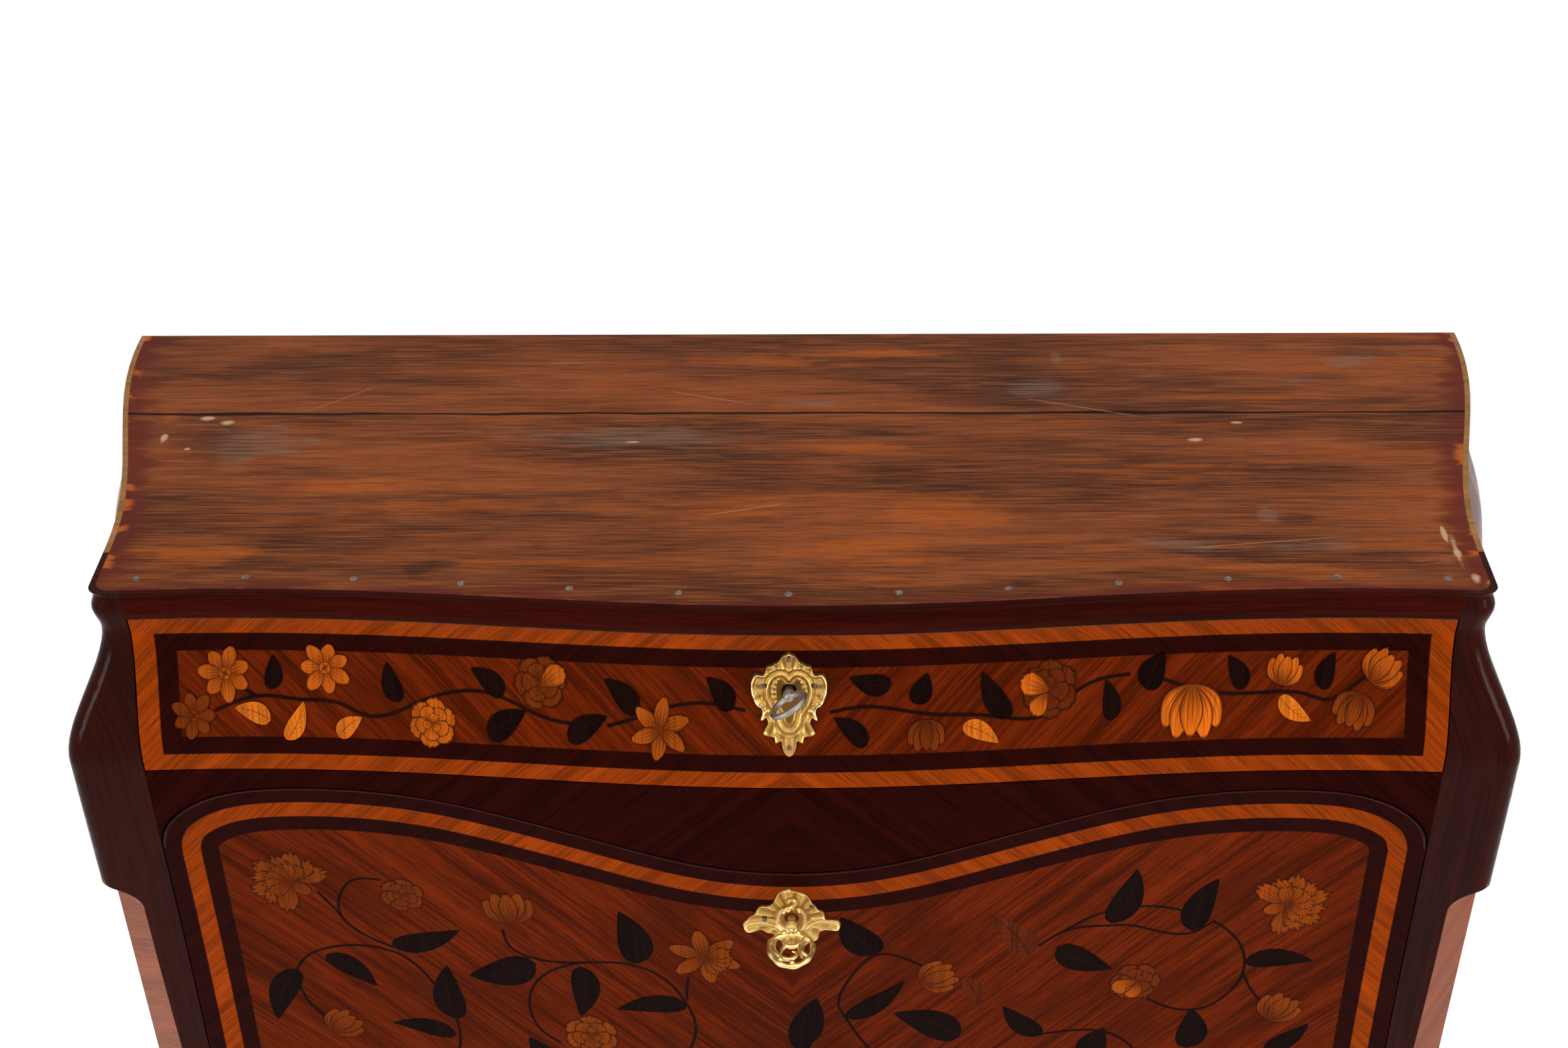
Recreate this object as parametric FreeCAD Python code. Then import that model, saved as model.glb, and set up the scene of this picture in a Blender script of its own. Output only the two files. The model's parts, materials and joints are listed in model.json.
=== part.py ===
"""Bombé fall-front writing cabinet (escritoire), built as a joiner would take it apart.

Units are millimetres, +Z is up and -Y is the front.  The origin lies on the floor under the middle of
the bounding box.  Every outside face is cut from one lofted case shape, so that drawer, fall, doors,
rails and stiles run into each other: in plan the front bows forward and the sides flare to the back,
and below the top edge the whole case swells outward.
"""
import FreeCAD, Part
import math
import os

from FreeCAD import Vector

# Case: overall sizes
TOP_HEIGHT = 1400.0
TOP_DEPTH = 338.0
FRONT_HALF = 456.0
BACK_FLARE = 43.0
FLARE_START = 70.0
FLARE_LENGTH = 250.0
CORNER_RADIUS = 10.0
BOW = 18.5
BOW_LOW = 6.0
BOW_WAVE = 360.0
BOW_FADE_LOW_DROP = 670.0
BOW_FADE_HIGH_DROP = 250.0
LIP_PROUD = 2.0
LIP_HEIGHT = 18.0
NECK_HEIGHT = 14.0
BULGE = 30.5
SWELL_START = 30.0
SWELL_HEIGHT = 92.0
FOOT_TUCK = 8.0
FOOT_TUCK_Z = 150.0
FOOT_BLEND = 80.0

# Corner below the console: a flat cant that starts with a curved stop
CANT_LEG = 30.0
CANT_STOP_DROP = 224.0
CANT_STOP_HEIGHT = 36.0

# Boards and rails
TOP_BOARD = 18.0
TOP_BORDER = 4.0
TOP_JOINT_BACK = 228.0
TOP_JOINT_GAP = 0.4
STILE_HALF = 435.5
STILE_DEPTH = 60.0
SIDE_WALL = 12.0
SIDE_BOTTOM = 130.0
REAR_STILE = 26.0
REAR_STILE_HALF = 425.0
BACK_PANEL = 12.0
BACK_PANEL_INSET = 8.0
BACK_SPLIT_DROP = 673.0
RAIL_DEPTH = 26.0
BOARD = 18.0
THIN_BOARD = 9.0
FACE_GAP = 1.0

# Drawer
DRAWER_TOP_DROP = 21.0
DRAWER_HEIGHT = 108.0
DRAWER_BACK_FACE = 36.0
DRAWER_SIDE = 12.0
DRAWER_SIDE_HALF = 432.0
DRAWER_SIDE_HEIGHT = 88.0
DRAWER_LENGTH = 264.0
DRAWER_BASE = 7.0
DRAWER_BASE_LIFT = 5.0
RUNNER_INNER = 405.0
RUNNER_GUIDE = 30.0
RUNNING_GAP = 0.3

# Fall front
FALL_PIVOT_DROP = 672.0
FALL_INNER = 4.0
FALL_SHOULDER_DROP = 146.0
FALL_DIP_DROP = 207.0
PIVOT_RADIUS = 5.0
PIVOT_INTO_STILE = 12.0
PIVOT_INTO_PANEL = 30.0
FIT_GAP = 0.05
LEATHER = 1.6
LEATHER_HALF = 360.0
LEATHER_MARGIN = 60.0
LEATHER_LENGTH = 300.0
LEATHER_SINK = 0.4

# Brass quadrant stays of the fall
STAY_INNER_RADIUS = 200.0
STAY_WIDTH = 8.0
STAY_THICK = 6.0
STAY_X = 423.0
STAY_LUG_DEG = 2.0
STAY_LUG_EXTRA = 4.0
STAY_FOOT = 2.5
STAY_FOOT_LENGTH = 40.0
GUIDE_FRONT = 8.0
GUIDE_DEPTH = 12.0
GUIDE_EXTRA = 8.0
GUIDE_GAP = 0.4

# Doors and base
WAIST_DROP = 737.0
DOOR_BOTTOM = 216.0
DOOR_PIVOT_INSET = 8.0
DOOR_PIN_RADIUS = 3.0
DOOR_PIN_INTO_DOOR = 20.0
DOOR_PIN_INTO_RAIL = 9.0
APRON_LOW = 96.0
APRON_HIGH = 150.0
APRON_END = 118.0

# Fittings inside the fall
NEST_SETBACK = 58.0
NEST_SIDE_HALF = 420.0
NEST_BOARD = 10.0
NEST_SHELF = 8.0
NEST_LOW_DROP = 550.0
NEST_HIGH_DROP = 350.0
NEST_TOP_DROP = 163.0
NEST_DRAWER_SPLIT = 137.0
PIGEONHOLES = 5
PIGEONHOLE_WALL = 6.0
SMALL_DRAWER_FRONT = 12.0
SMALL_DRAWER_WALL = 6.0
SMALL_DRAWER_LENGTH = 230.0
SMALL_DRAWER_GAP = 0.5
KNOB_RADIUS = 7.0
KNOB_LENGTH = 10.0

# Locks, keys and escutcheons
LOCK_WIDTH = 64.0
LOCK_HEIGHT = 46.0
LOCK_DEPTH = 15.0
LOCK_WALL = 2.0
BOLT_WIDTH = 24.0
BOLT_THICK = 5.0
BOLT_THROW = 9.0
BOLT_HEAD = 12.0
BOLT_TAIL = 6.0
BOLT_GAP = 0.4
BOLT_INSET = 0.8
MORTISE_EXTRA = 3.0
KEY_RADIUS = 3.2
KEY_BORE = 5.0
KEYHOLE_SLOT = 4.0
KEYHOLE_DROP = 14.0
KEY_BIT = 8.0
KEY_BIT_THICK = 2.6
KEY_BIT_LENGTH = 5.5
DRAWER_KEY_DROP = 62.0
DRAWER_KEY_TILT = 15.0
DRAWER_KEY_TURN = 32.0
DRAWER_KEY_STEM = 11.0
KEY_RING_RADIUS = 12.0
KEY_RING_WIRE = 2.2
FALL_KEY_DROP = 249.0
FALL_KEY_STEM = 13.0
FALL_BOW_LENGTH = 34.0
FALL_BOW_WIDTH = 32.0
FALL_BOW_THICK = 4.0
KEY_OVERLAP = 1.0
DOOR_KEY_X = 30.0
ESCUTCHEON = 2.6
ESCUTCHEON_WIDE = 52.0
ESCUTCHEON_UP = 28.0
ESCUTCHEON_DOWN = 39.0
FALL_ESCUTCHEON_WIDE = 70.0
FALL_ESCUTCHEON_UP = 40.0
FALL_ESCUTCHEON_DOWN = 36.0
DOOR_ESCUTCHEON_SHARE = 0.8
PIN_HEAD = 1.7
PIN_SHANK = 0.8
PIN_PROUD = 0.8
PIN_LENGTH = 9.0
NAIL_HEAD = 2.6
NAIL_SHANK = 1.2
NAIL_PROUD = 0.3
NAILS = 13
NAIL_EDGE = 14.0

# Places worked out from the sizes above
BOW_FADE_LOW = TOP_HEIGHT - BOW_FADE_LOW_DROP
BOW_FADE_HIGH = TOP_HEIGHT - BOW_FADE_HIGH_DROP
CANT_STOP_Z = TOP_HEIGHT - CANT_STOP_DROP
BACK_SPLIT_Z = TOP_HEIGHT - BACK_SPLIT_DROP
FALL_PIVOT_Z = TOP_HEIGHT - FALL_PIVOT_DROP
DOOR_TOP = TOP_HEIGHT - WAIST_DROP
DOOR_MIDDLE_Z = (DOOR_TOP + DOOR_BOTTOM) / 2.0
SHELF_Z = DOOR_MIDDLE_Z
DOOR_KEY_Z = DOOR_MIDDLE_Z
NEST_LOW_Z = TOP_HEIGHT - NEST_LOW_DROP
NEST_HIGH_Z = TOP_HEIGHT - NEST_HIGH_DROP
NEST_TOP_Z = TOP_HEIGHT - NEST_TOP_DROP
KEY_REACH = FALL_KEY_STEM + FALL_BOW_LENGTH - KEY_OVERLAP
LIP_Y = (BULGE + KEY_REACH - TOP_DEPTH) / 2.0
BACK_Y = LIP_Y + TOP_DEPTH
INNER_Y = LIP_Y + FALL_INNER
RAIL_BACK_Y = INNER_Y + RAIL_DEPTH
BOARD_FRONT_Y = INNER_Y + 1.5 * FACE_GAP
STILE_BACK_Y = LIP_Y + STILE_DEPTH
REAR_Y = BACK_Y - REAR_STILE
BACK_PANEL_BACK_Y = BACK_Y - BACK_PANEL_INSET
BACK_PANEL_Y = BACK_PANEL_BACK_Y - BACK_PANEL
TOP_BOARD_Z = TOP_HEIGHT - TOP_BOARD
DRAWER_TOP_Z = TOP_HEIGHT - DRAWER_TOP_DROP
DRAWER_LOW_Z = DRAWER_TOP_Z - DRAWER_HEIGHT
FACE_HALF = STILE_HALF - FACE_GAP
FALL_FRONT_Y = LIP_Y - BULGE
FALL_HALF_THICK = (INNER_Y - FALL_FRONT_Y) / 2.0
FALL_PIVOT_Y = INNER_Y - FALL_HALF_THICK
FALL_LOW_Z = FALL_PIVOT_Z - FALL_HALF_THICK
DECK_Z = FALL_PIVOT_Z + FALL_HALF_THICK
WAIST_TOP_Z = FALL_LOW_Z - FACE_GAP
WAIST_LOW_Z = DOOR_TOP + FACE_GAP
APRON_TOP_Z = DOOR_BOTTOM - FACE_GAP
FLOOR_Z = APRON_TOP_Z - FACE_GAP
DRAWER_BACK_Y = LIP_Y + DRAWER_BACK_FACE
DRAWER_END_Y = DRAWER_BACK_Y + DRAWER_LENGTH
NEST_Y = INNER_Y + NEST_SETBACK
DOOR_PIVOT_X = FACE_HALF - DOOR_PIVOT_INSET
WIDE = 2.0 * (FRONT_HALF + BACK_FLARE + BULGE)
SIDES = (("left", -1.0), ("right", 1.0))


def ease(t):
    """Smooth step from 0 to 1."""
    t = max(0.0, min(1.0, t))
    return t * t * (3.0 - 2.0 * t)


def swell(z):
    """How far the case stands out at height z beyond its plan at the neck."""
    drop = TOP_HEIGHT - z
    lip = LIP_PROUD * (1.0 - ease((drop - LIP_HEIGHT) / NECK_HEIGHT))
    tuck = ease((FOOT_TUCK_Z + FOOT_BLEND - z) / FOOT_BLEND) - ease((FOOT_TUCK_Z - z) / FOOT_TUCK_Z)
    return lip + BULGE * ease((drop - SWELL_START) / SWELL_HEIGHT) - FOOT_TUCK * tuck


def bow(z):
    """Depth of the bow of the front; it fades to the straight line that the fall needs at its pivots."""
    share = ease((z - BOW_FADE_LOW) / (BOW_FADE_HIGH - BOW_FADE_LOW))
    return BOW_LOW + (BOW - BOW_LOW) * share


def front_y(x, z):
    """Y of the front face."""
    return LIP_Y + bow(z) * 0.5 * (1.0 - math.cos(math.pi * x / BOW_WAVE)) - swell(z)


def side_x(y, offset):
    """Half width of the plan at depth y, moved outward by offset."""
    return FRONT_HALF + BACK_FLARE * ease((y - LIP_Y - FLARE_START) / FLARE_LENGTH) + offset


def spline(points):
    curve = Part.BSplineCurve()
    curve.interpolate(points)
    return curve.toShape()


def section(z, inset=0.0):
    """Closed plan outline at height z: front, right corner, right side, back, left side, left corner."""
    offset = swell(z) - inset
    corner_x = FRONT_HALF + offset - CORNER_RADIUS
    shift = inset
    steps = 14
    front = []
    for i in range(steps + 1):
        x = corner_x * (2.0 * i / steps - 1.0)
        front.append(Vector(x, front_y(x, z) + shift, z))
    centre_y = front[-1].y + CORNER_RADIUS
    side = []
    for i in range(10):
        y = centre_y + (BACK_Y - centre_y) * i / 9.0
        side.append(Vector(side_x(y, offset), y, z))
    reach = CORNER_RADIUS * math.sqrt(0.5)
    middle = Vector(corner_x + reach, centre_y - reach, z)
    left = [Vector(-p.x, p.y, p.z) for p in reversed(side)]
    edges = [spline(front)]
    edges.append(Part.Arc(front[-1], middle, side[0]).toShape())
    edges.append(spline(side))
    edges.append(Part.makeLine(side[-1], left[0]))
    edges.append(spline(left))
    edges.append(Part.Arc(left[-1], Vector(-middle.x, middle.y, z), front[0]).toShape())
    return Part.Wire(edges)


def loft(levels):
    return Part.makeLoft([section(z) for z in levels], True, False)


def box(x0, x1, y0, y1, z0, z1):
    return Part.makeBox(x1 - x0, y1 - y0, z1 - z0, Vector(x0, y0, z0))


def rod(radius, start, direction, length):
    return Part.makeCylinder(radius, length, start, direction)


def extrude_y(edges, y0, y1):
    """Prism along Y from a closed chain of edges drawn at y = 0."""
    face = Part.Face(Part.Wire(edges))
    face.translate(Vector(0, y0, 0))
    return face.extrude(Vector(0, y1 - y0, 0))


def group(shapes):
    return Part.makeCompound(shapes)


def save(name, shape):
    shape.exportStep(os.path.join("parts", name + ".step"))


def spread(start, stop, count):
    return [start + (stop - start) * i / (count - 1.0) for i in range(count)]


def plan_slab(z0, z1, inset):
    """Slab with the plan of the case at the top, moved inward by inset."""
    wire = section(TOP_HEIGHT, inset)
    wire.translate(Vector(0, 0, z0 - TOP_HEIGHT))
    return Part.Face(wire).extrude(Vector(0, 0, z1 - z0))


def inner_slab(z0, z1):
    """Room inside the two side walls between the front and the rear stiles."""
    steps = 8
    right = []
    for i in range(steps + 1):
        y = STILE_BACK_Y + (REAR_Y - STILE_BACK_Y) * i / steps
        right.append(Vector(side_x(y, -SIDE_WALL), y, z0))
    left = [Vector(-p.x, p.y, p.z) for p in reversed(right)]
    edges = [spline(right), Part.makeLine(right[-1], left[0])]
    edges += [spline(left), Part.makeLine(left[-1], right[0])]
    return Part.Face(Part.Wire(edges)).extrude(Vector(0, 0, z1 - z0))


def inside_board(z0, z1, front=BOARD_FRONT_Y):
    """Board that fills the case from the rails to the back panel."""
    board = inner_slab(z0, z1)
    if front < STILE_BACK_Y:
        board = board.fuse(box(-STILE_HALF, STILE_HALF, front, STILE_BACK_Y, z0, z1))
    return board.fuse(box(-REAR_STILE_HALF, REAR_STILE_HALF, REAR_Y, BACK_PANEL_Y, z0, z1)).removeSplitter()


def fall_outline(gap):
    """Outline of the fall: straight sides, rounded shoulders and a long dip in the middle."""
    shoulder = TOP_HEIGHT - FALL_SHOULDER_DROP + gap
    dip = FALL_DIP_DROP - FALL_SHOULDER_DROP
    half = FACE_HALF + gap
    shape = ((0.0, 1.0), (0.15, 0.89), (0.30, 0.59), (0.44, 0.30), (0.56, 0.10), (0.69, 0.0),
             (0.80, 0.0), (0.90, 0.11), (0.953, 0.30), (0.985, 0.53), (1.0, 0.85))
    right = [Vector(x * half, 0, shoulder - drop * dip) for x, drop in shape]
    whole = [Vector(-p.x, 0, p.z) for p in reversed(right)] + right[1:]
    low = FALL_LOW_Z - gap
    return [spline(whole),
            Part.makeLine(whole[-1], Vector(half, 0, low)),
            Part.makeLine(Vector(half, 0, low), Vector(-half, 0, low)),
            Part.makeLine(Vector(-half, 0, low), whole[0])]


def keyhole(x, z, y0, y1):
    """Round keyhole with a straight slot under it."""
    hole = rod(KEY_BORE, Vector(x, y0, z), Vector(0, 1, 0), y1 - y0)
    return hole.fuse(box(x - KEYHOLE_SLOT / 2, x + KEYHOLE_SLOT / 2, y0, y1, z - KEYHOLE_DROP, z))


def lobed_plate(x, z, wide, up, down, y0, y1):
    """Cartouche outline: a crest, two ears and a pointed tail."""
    half = wide / 2.0
    right = [(0.0, up), (0.30, 0.80 * up), (0.62, 0.62 * up), (0.70, 0.42 * up), (1.0, 0.12 * up),
             (0.86, -0.24 * down), (0.52, -0.36 * down), (0.60, -0.58 * down), (0.20, -0.80 * down),
             (0.0, -down)]
    points = [Vector(x + half * px, 0, z + pz) for px, pz in right]
    mirrored = [Vector(x - half * px, 0, z + pz) for px, pz in reversed(right[1:-1])]
    curve = Part.BSplineCurve()
    curve.interpolate(points + mirrored, True)
    return extrude_y([curve.toShape()], y0, y1)


def lock_case(x, y_back, z, key_hole, bolt_way):
    """Steel case let into the wood: five walls and a cap, with the key's hole and the bolt's way."""
    outer = box(x - LOCK_WIDTH / 2, x + LOCK_WIDTH / 2, y_back - LOCK_DEPTH, y_back,
                z - LOCK_HEIGHT / 2, z + LOCK_HEIGHT / 2)
    wall = LOCK_WALL
    room = box(x - LOCK_WIDTH / 2 + wall, x + LOCK_WIDTH / 2 - wall, y_back - LOCK_DEPTH + wall,
               y_back - wall, z - LOCK_HEIGHT / 2 + wall, z + LOCK_HEIGHT / 2 - wall)
    return outer.cut(room).cut(key_hole).cut(bolt_way), outer


def pins(places, y_of, length=PIN_LENGTH):
    """Small round-headed pins driven along Y."""
    shapes = []
    for x, z in places:
        y = y_of(x, z) - ESCUTCHEON - PIN_PROUD
        head = rod(PIN_HEAD, Vector(x, y, z), Vector(0, 1, 0), PIN_PROUD)
        shank = rod(PIN_SHANK, Vector(x, y + PIN_PROUD, z), Vector(0, 1, 0), length)
        shapes.append(head.fuse(shank))
    return group(shapes)


os.makedirs("parts", exist_ok=True)

# The case shape in two lofts that meet at the foot of the drawer, where the swelling is full
UPPER = loft([TOP_HEIGHT - d for d in spread(0.0, TOP_HEIGHT - DRAWER_LOW_Z, 13)])
LOWER = loft([DRAWER_LOW_Z] + spread(BOW_FADE_HIGH + 40.0, BOW_FADE_LOW - 40.0, 7)
             + spread(BOW_FADE_LOW - 120.0, FOOT_TUCK_Z + FOOT_BLEND, 5)
             + spread(FOOT_TUCK_Z + FOOT_BLEND - 25.0, 0.0, 7))
TOP_SLAB = plan_slab(TOP_BOARD_Z, TOP_HEIGHT, TOP_BORDER)


def carve(region):
    """The part of the case shape inside a region, as one solid."""
    high = UPPER.common(region)
    low = LOWER.common(region)
    if not high.Solids:
        return low
    if not low.Solids:
        return high
    return high.fuse(low)


def cant_cutter(sign):
    """Diagonal cut along the corner of a front stile, ended by a curved stop under the console."""
    corner_x = FRONT_HALF + BULGE
    corner_y = front_y(corner_x, CANT_STOP_Z)
    root = Vector(corner_x - CANT_LEG / 2, corner_y + CANT_LEG / 2, 0)
    out = Vector(math.sqrt(0.5), -math.sqrt(0.5), 0)
    along = Vector(math.sqrt(0.5), math.sqrt(0.5), 0)
    depth = 4.0 * CANT_LEG

    def at(distance, z):
        p = root + out * distance
        return Vector(p.x, p.y, z)

    low = CANT_STOP_Z - CANT_STOP_HEIGHT
    rise = CANT_STOP_HEIGHT
    shape = ((0.0, 0.0), (1.5, 0.25), (8.0, 0.50), (16.0, 0.68), (21.0, 0.86), (26.0, 1.0))
    stop = [at(d, low + share * rise) for d, share in shape]
    edges = [spline(stop),
             Part.makeLine(stop[-1], at(depth, CANT_STOP_Z)),
             Part.makeLine(at(depth, CANT_STOP_Z), at(depth, -10.0)),
             Part.makeLine(at(depth, -10.0), at(0.0, -10.0)),
             Part.makeLine(at(0.0, -10.0), stop[0])]
    face = Part.Face(Part.Wire(edges))
    face.translate(along * -depth)
    cutter = face.extrude(along * (2.0 * depth))
    if sign < 0:
        cutter = cutter.mirror(Vector(0, 0, 0), Vector(1, 0, 0))
    return cutter


# Bores for the pivots of the fall and of the doors
def fall_pivot(sign, radius):
    start = FACE_HALF - PIVOT_INTO_PANEL
    length = PIVOT_INTO_PANEL + FACE_GAP + PIVOT_INTO_STILE
    return rod(radius, Vector(sign * start, FALL_PIVOT_Y, FALL_PIVOT_Z), Vector(sign, 0, 0), length)


DOOR_PIVOT_Y = front_y(FACE_HALF, DOOR_TOP) + DOOR_PIVOT_INSET


def door_pins(sign, radius, extra):
    """Upper and lower pivot of one door, from inside the door into the rail."""
    length = DOOR_PIN_INTO_DOOR + FACE_GAP + DOOR_PIN_INTO_RAIL + extra
    x = sign * DOOR_PIVOT_X
    upper = rod(radius, Vector(x, DOOR_PIVOT_Y, DOOR_TOP - DOOR_PIN_INTO_DOOR), Vector(0, 0, 1), length)
    lower = rod(radius, Vector(x, DOOR_PIVOT_Y, DOOR_BOTTOM + DOOR_PIN_INTO_DOOR), Vector(0, 0, -1), length)
    return group([upper, lower])


# Front and rear stiles, sides
for side, sign in SIDES:
    inner = sorted((sign * STILE_HALF, sign * WIDE))
    stile = carve(box(inner[0], inner[1], LIP_Y - 2 * BULGE, STILE_BACK_Y, 0.0, TOP_HEIGHT))
    stile = stile.cut(cant_cutter(sign)).cut(TOP_SLAB)
    stile = stile.cut(fall_pivot(sign, PIVOT_RADIUS + FIT_GAP))
    save("stile_front_" + side, stile)

    inner = sorted((sign * FRONT_HALF / 2, sign * WIDE))
    panel = carve(box(inner[0], inner[1], STILE_BACK_Y, REAR_Y, SIDE_BOTTOM, TOP_HEIGHT))
    save("side_" + side, panel.cut(inner_slab(0.0, TOP_HEIGHT)).cut(TOP_SLAB))

    inner = sorted((sign * REAR_STILE_HALF, sign * WIDE))
    post = carve(box(inner[0], inner[1], REAR_Y, BACK_Y, 0.0, TOP_HEIGHT))
    save("stile_rear_" + side, post.cut(TOP_SLAB))

# Keys' heights and the ways of the bolts
drawer_key_z = TOP_HEIGHT - DRAWER_KEY_DROP
fall_key_z = TOP_HEIGHT - FALL_KEY_DROP
drawer_bolt_y = DRAWER_BACK_Y - LOCK_DEPTH / 2
fall_bolt_y = INNER_Y - LOCK_DEPTH / 2 - LEATHER_SINK


def bolt_way(x, y, z0, z1, gap=BOLT_GAP):
    half = BOLT_WIDTH / 2 + gap
    return box(x - half, x + half, y - BOLT_THICK / 2 - gap, y + BOLT_THICK / 2 + gap, z0, z1)


mortise_top = DRAWER_TOP_Z - FACE_GAP + BOLT_THROW + MORTISE_EXTRA
drawer_mortise = bolt_way(0.0, drawer_bolt_y, DRAWER_LOW_Z, mortise_top)

# Top boards and their nails
joint_y = LIP_Y + TOP_JOINT_BACK
front_half_slab = box(-WIDE, WIDE, LIP_Y - BULGE, joint_y, TOP_BOARD_Z, TOP_HEIGHT)
rear_half_slab = box(-WIDE, WIDE, joint_y + TOP_JOINT_GAP, BACK_Y, TOP_BOARD_Z, TOP_HEIGHT)
save("top_board_front", TOP_SLAB.common(front_half_slab).cut(drawer_mortise))
save("top_board_rear", TOP_SLAB.common(rear_half_slab))
nail_shapes = []
for x in spread(-FRONT_HALF + 2 * NAIL_EDGE, FRONT_HALF - 2 * NAIL_EDGE, NAILS):
    y = front_y(x, TOP_HEIGHT) + NAIL_EDGE + LIP_PROUD
    head = rod(NAIL_HEAD, Vector(x, y, TOP_HEIGHT), Vector(0, 0, 1), NAIL_PROUD)
    shank = rod(NAIL_SHANK, Vector(x, y, TOP_HEIGHT), Vector(0, 0, -1), TOP_BOARD)
    nail_shapes.append(head.fuse(shank))
save("top_nails", group(nail_shapes))

# Rails across the front
front = LIP_Y - 2 * BULGE
cornice = carve(box(-STILE_HALF, STILE_HALF, front, LIP_Y + BOW + RAIL_DEPTH, DRAWER_TOP_Z, TOP_HEIGHT))
cornice = cornice.cut(TOP_SLAB)
save("top_front_rail", cornice.cut(drawer_mortise))

fall_hole = extrude_y(fall_outline(FACE_GAP), front, BACK_Y)
frieze = LOWER.common(box(-STILE_HALF, STILE_HALF, front, RAIL_BACK_Y, FALL_PIVOT_Z, DRAWER_LOW_Z))
fall_top_z = TOP_HEIGHT - FALL_DIP_DROP
frieze = frieze.cut(fall_hole)
save("frieze_rail", frieze.cut(bolt_way(0.0, fall_bolt_y, fall_key_z, fall_top_z + BOLT_THROW + MORTISE_EXTRA)))

waist = LOWER.common(box(-STILE_HALF, STILE_HALF, front, BOARD_FRONT_Y, WAIST_LOW_Z, WAIST_TOP_Z))
deck_low = DECK_Z - BOARD
waist = waist.fuse(box(-STILE_HALF, STILE_HALF, BOARD_FRONT_Y, RAIL_BACK_Y, WAIST_LOW_Z, deck_low)).removeSplitter()
for side, sign in SIDES:
    waist = waist.cut(door_pins(sign, DOOR_PIN_RADIUS + FIT_GAP, FACE_GAP))
    slot = sorted((sign * (STAY_X - 2 * GUIDE_GAP), sign * STILE_HALF))
    waist = waist.cut(box(slot[0], slot[1], BOARD_FRONT_Y, RAIL_BACK_Y, WAIST_TOP_Z, DECK_Z))
save("waist_rail", waist)

apron = LOWER.common(box(-STILE_HALF, STILE_HALF, front, RAIL_BACK_Y, APRON_LOW, APRON_TOP_Z))
apron = apron.cut(box(-STILE_HALF, STILE_HALF, BOARD_FRONT_Y, RAIL_BACK_Y, FLOOR_Z - BOARD, APRON_TOP_Z))
shape = ((0.0, APRON_LOW), (0.12, APRON_LOW + 6.0), (0.30, APRON_HIGH - 8.0), (0.48, APRON_HIGH),
         (0.72, APRON_HIGH - 6.0), (0.90, APRON_END + 6.0), (1.0, APRON_END))
right = [Vector(s * STILE_HALF, 0, z) for s, z in shape]
edge = [Vector(-p.x, 0, p.z) for p in reversed(right)] + right[1:]
below = APRON_LOW - 20.0
under = extrude_y([spline(edge),
                   Part.makeLine(edge[-1], Vector(STILE_HALF, 0, below)),
                   Part.makeLine(Vector(STILE_HALF, 0, below), Vector(-STILE_HALF, 0, below)),
                   Part.makeLine(Vector(-STILE_HALF, 0, below), edge[0])], front, BACK_Y)
apron = apron.cut(under)
for side, sign in SIDES:
    apron = apron.cut(door_pins(sign, DOOR_PIN_RADIUS + FIT_GAP, FACE_GAP))
save("apron_rail", apron)

# Back panels, dust board, runners, deck, floor and shelf
panel_half = REAR_STILE_HALF
save("back_panel_upper", box(-panel_half, panel_half, BACK_PANEL_Y, BACK_PANEL_BACK_Y, BACK_SPLIT_Z, TOP_BOARD_Z))
save("back_panel_lower", box(-panel_half, panel_half, BACK_PANEL_Y, BACK_PANEL_BACK_Y, SIDE_BOTTOM, BACK_SPLIT_Z))
dust_top = DRAWER_LOW_Z - DRAWER_BASE_LIFT / 2
save("dust_board", box(-RUNNER_INNER, RUNNER_INNER, RAIL_BACK_Y, BACK_PANEL_Y, dust_top - THIN_BOARD, dust_top))
runners = []
for side, sign in SIDES:
    guide_x = DRAWER_SIDE_HALF + 2 * RUNNING_GAP
    outer_x = FRONT_HALF - SIDE_WALL - RUNNING_GAP
    low = sorted((sign * RUNNER_INNER, sign * outer_x))
    foot = box(low[0], low[1], STILE_BACK_Y, REAR_Y, dust_top - THIN_BOARD, DRAWER_LOW_Z)
    high = sorted((sign * guide_x, sign * outer_x))
    foot = foot.fuse(box(high[0], high[1], STILE_BACK_Y, REAR_Y, DRAWER_LOW_Z, DRAWER_LOW_Z + RUNNER_GUIDE))
    inner = sorted((sign * RUNNER_INNER, sign * STILE_HALF))
    foot = foot.fuse(box(inner[0], inner[1], RAIL_BACK_Y, STILE_BACK_Y, dust_top - THIN_BOARD, DRAWER_LOW_Z))
    runners.append(foot.removeSplitter())
save("drawer_runners", group(runners))

deck = inside_board(deck_low, DECK_Z)
stay_reach = FALL_PIVOT_Y + STAY_INNER_RADIUS + STAY_WIDTH + STAY_LUG_EXTRA + FACE_GAP
for side, sign in SIDES:
    slot = sorted((sign * (STAY_X - 2 * GUIDE_GAP), sign * STILE_HALF))
    deck = deck.cut(box(slot[0], slot[1], BOARD_FRONT_Y - FACE_GAP, stay_reach, deck_low, DECK_Z))
save("writing_deck", deck)
save("cupboard_floor", inside_board(FLOOR_Z - BOARD, FLOOR_Z))
save("cupboard_shelf", inside_board(SHELF_Z, SHELF_Z + BOARD, STILE_BACK_Y))

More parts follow.
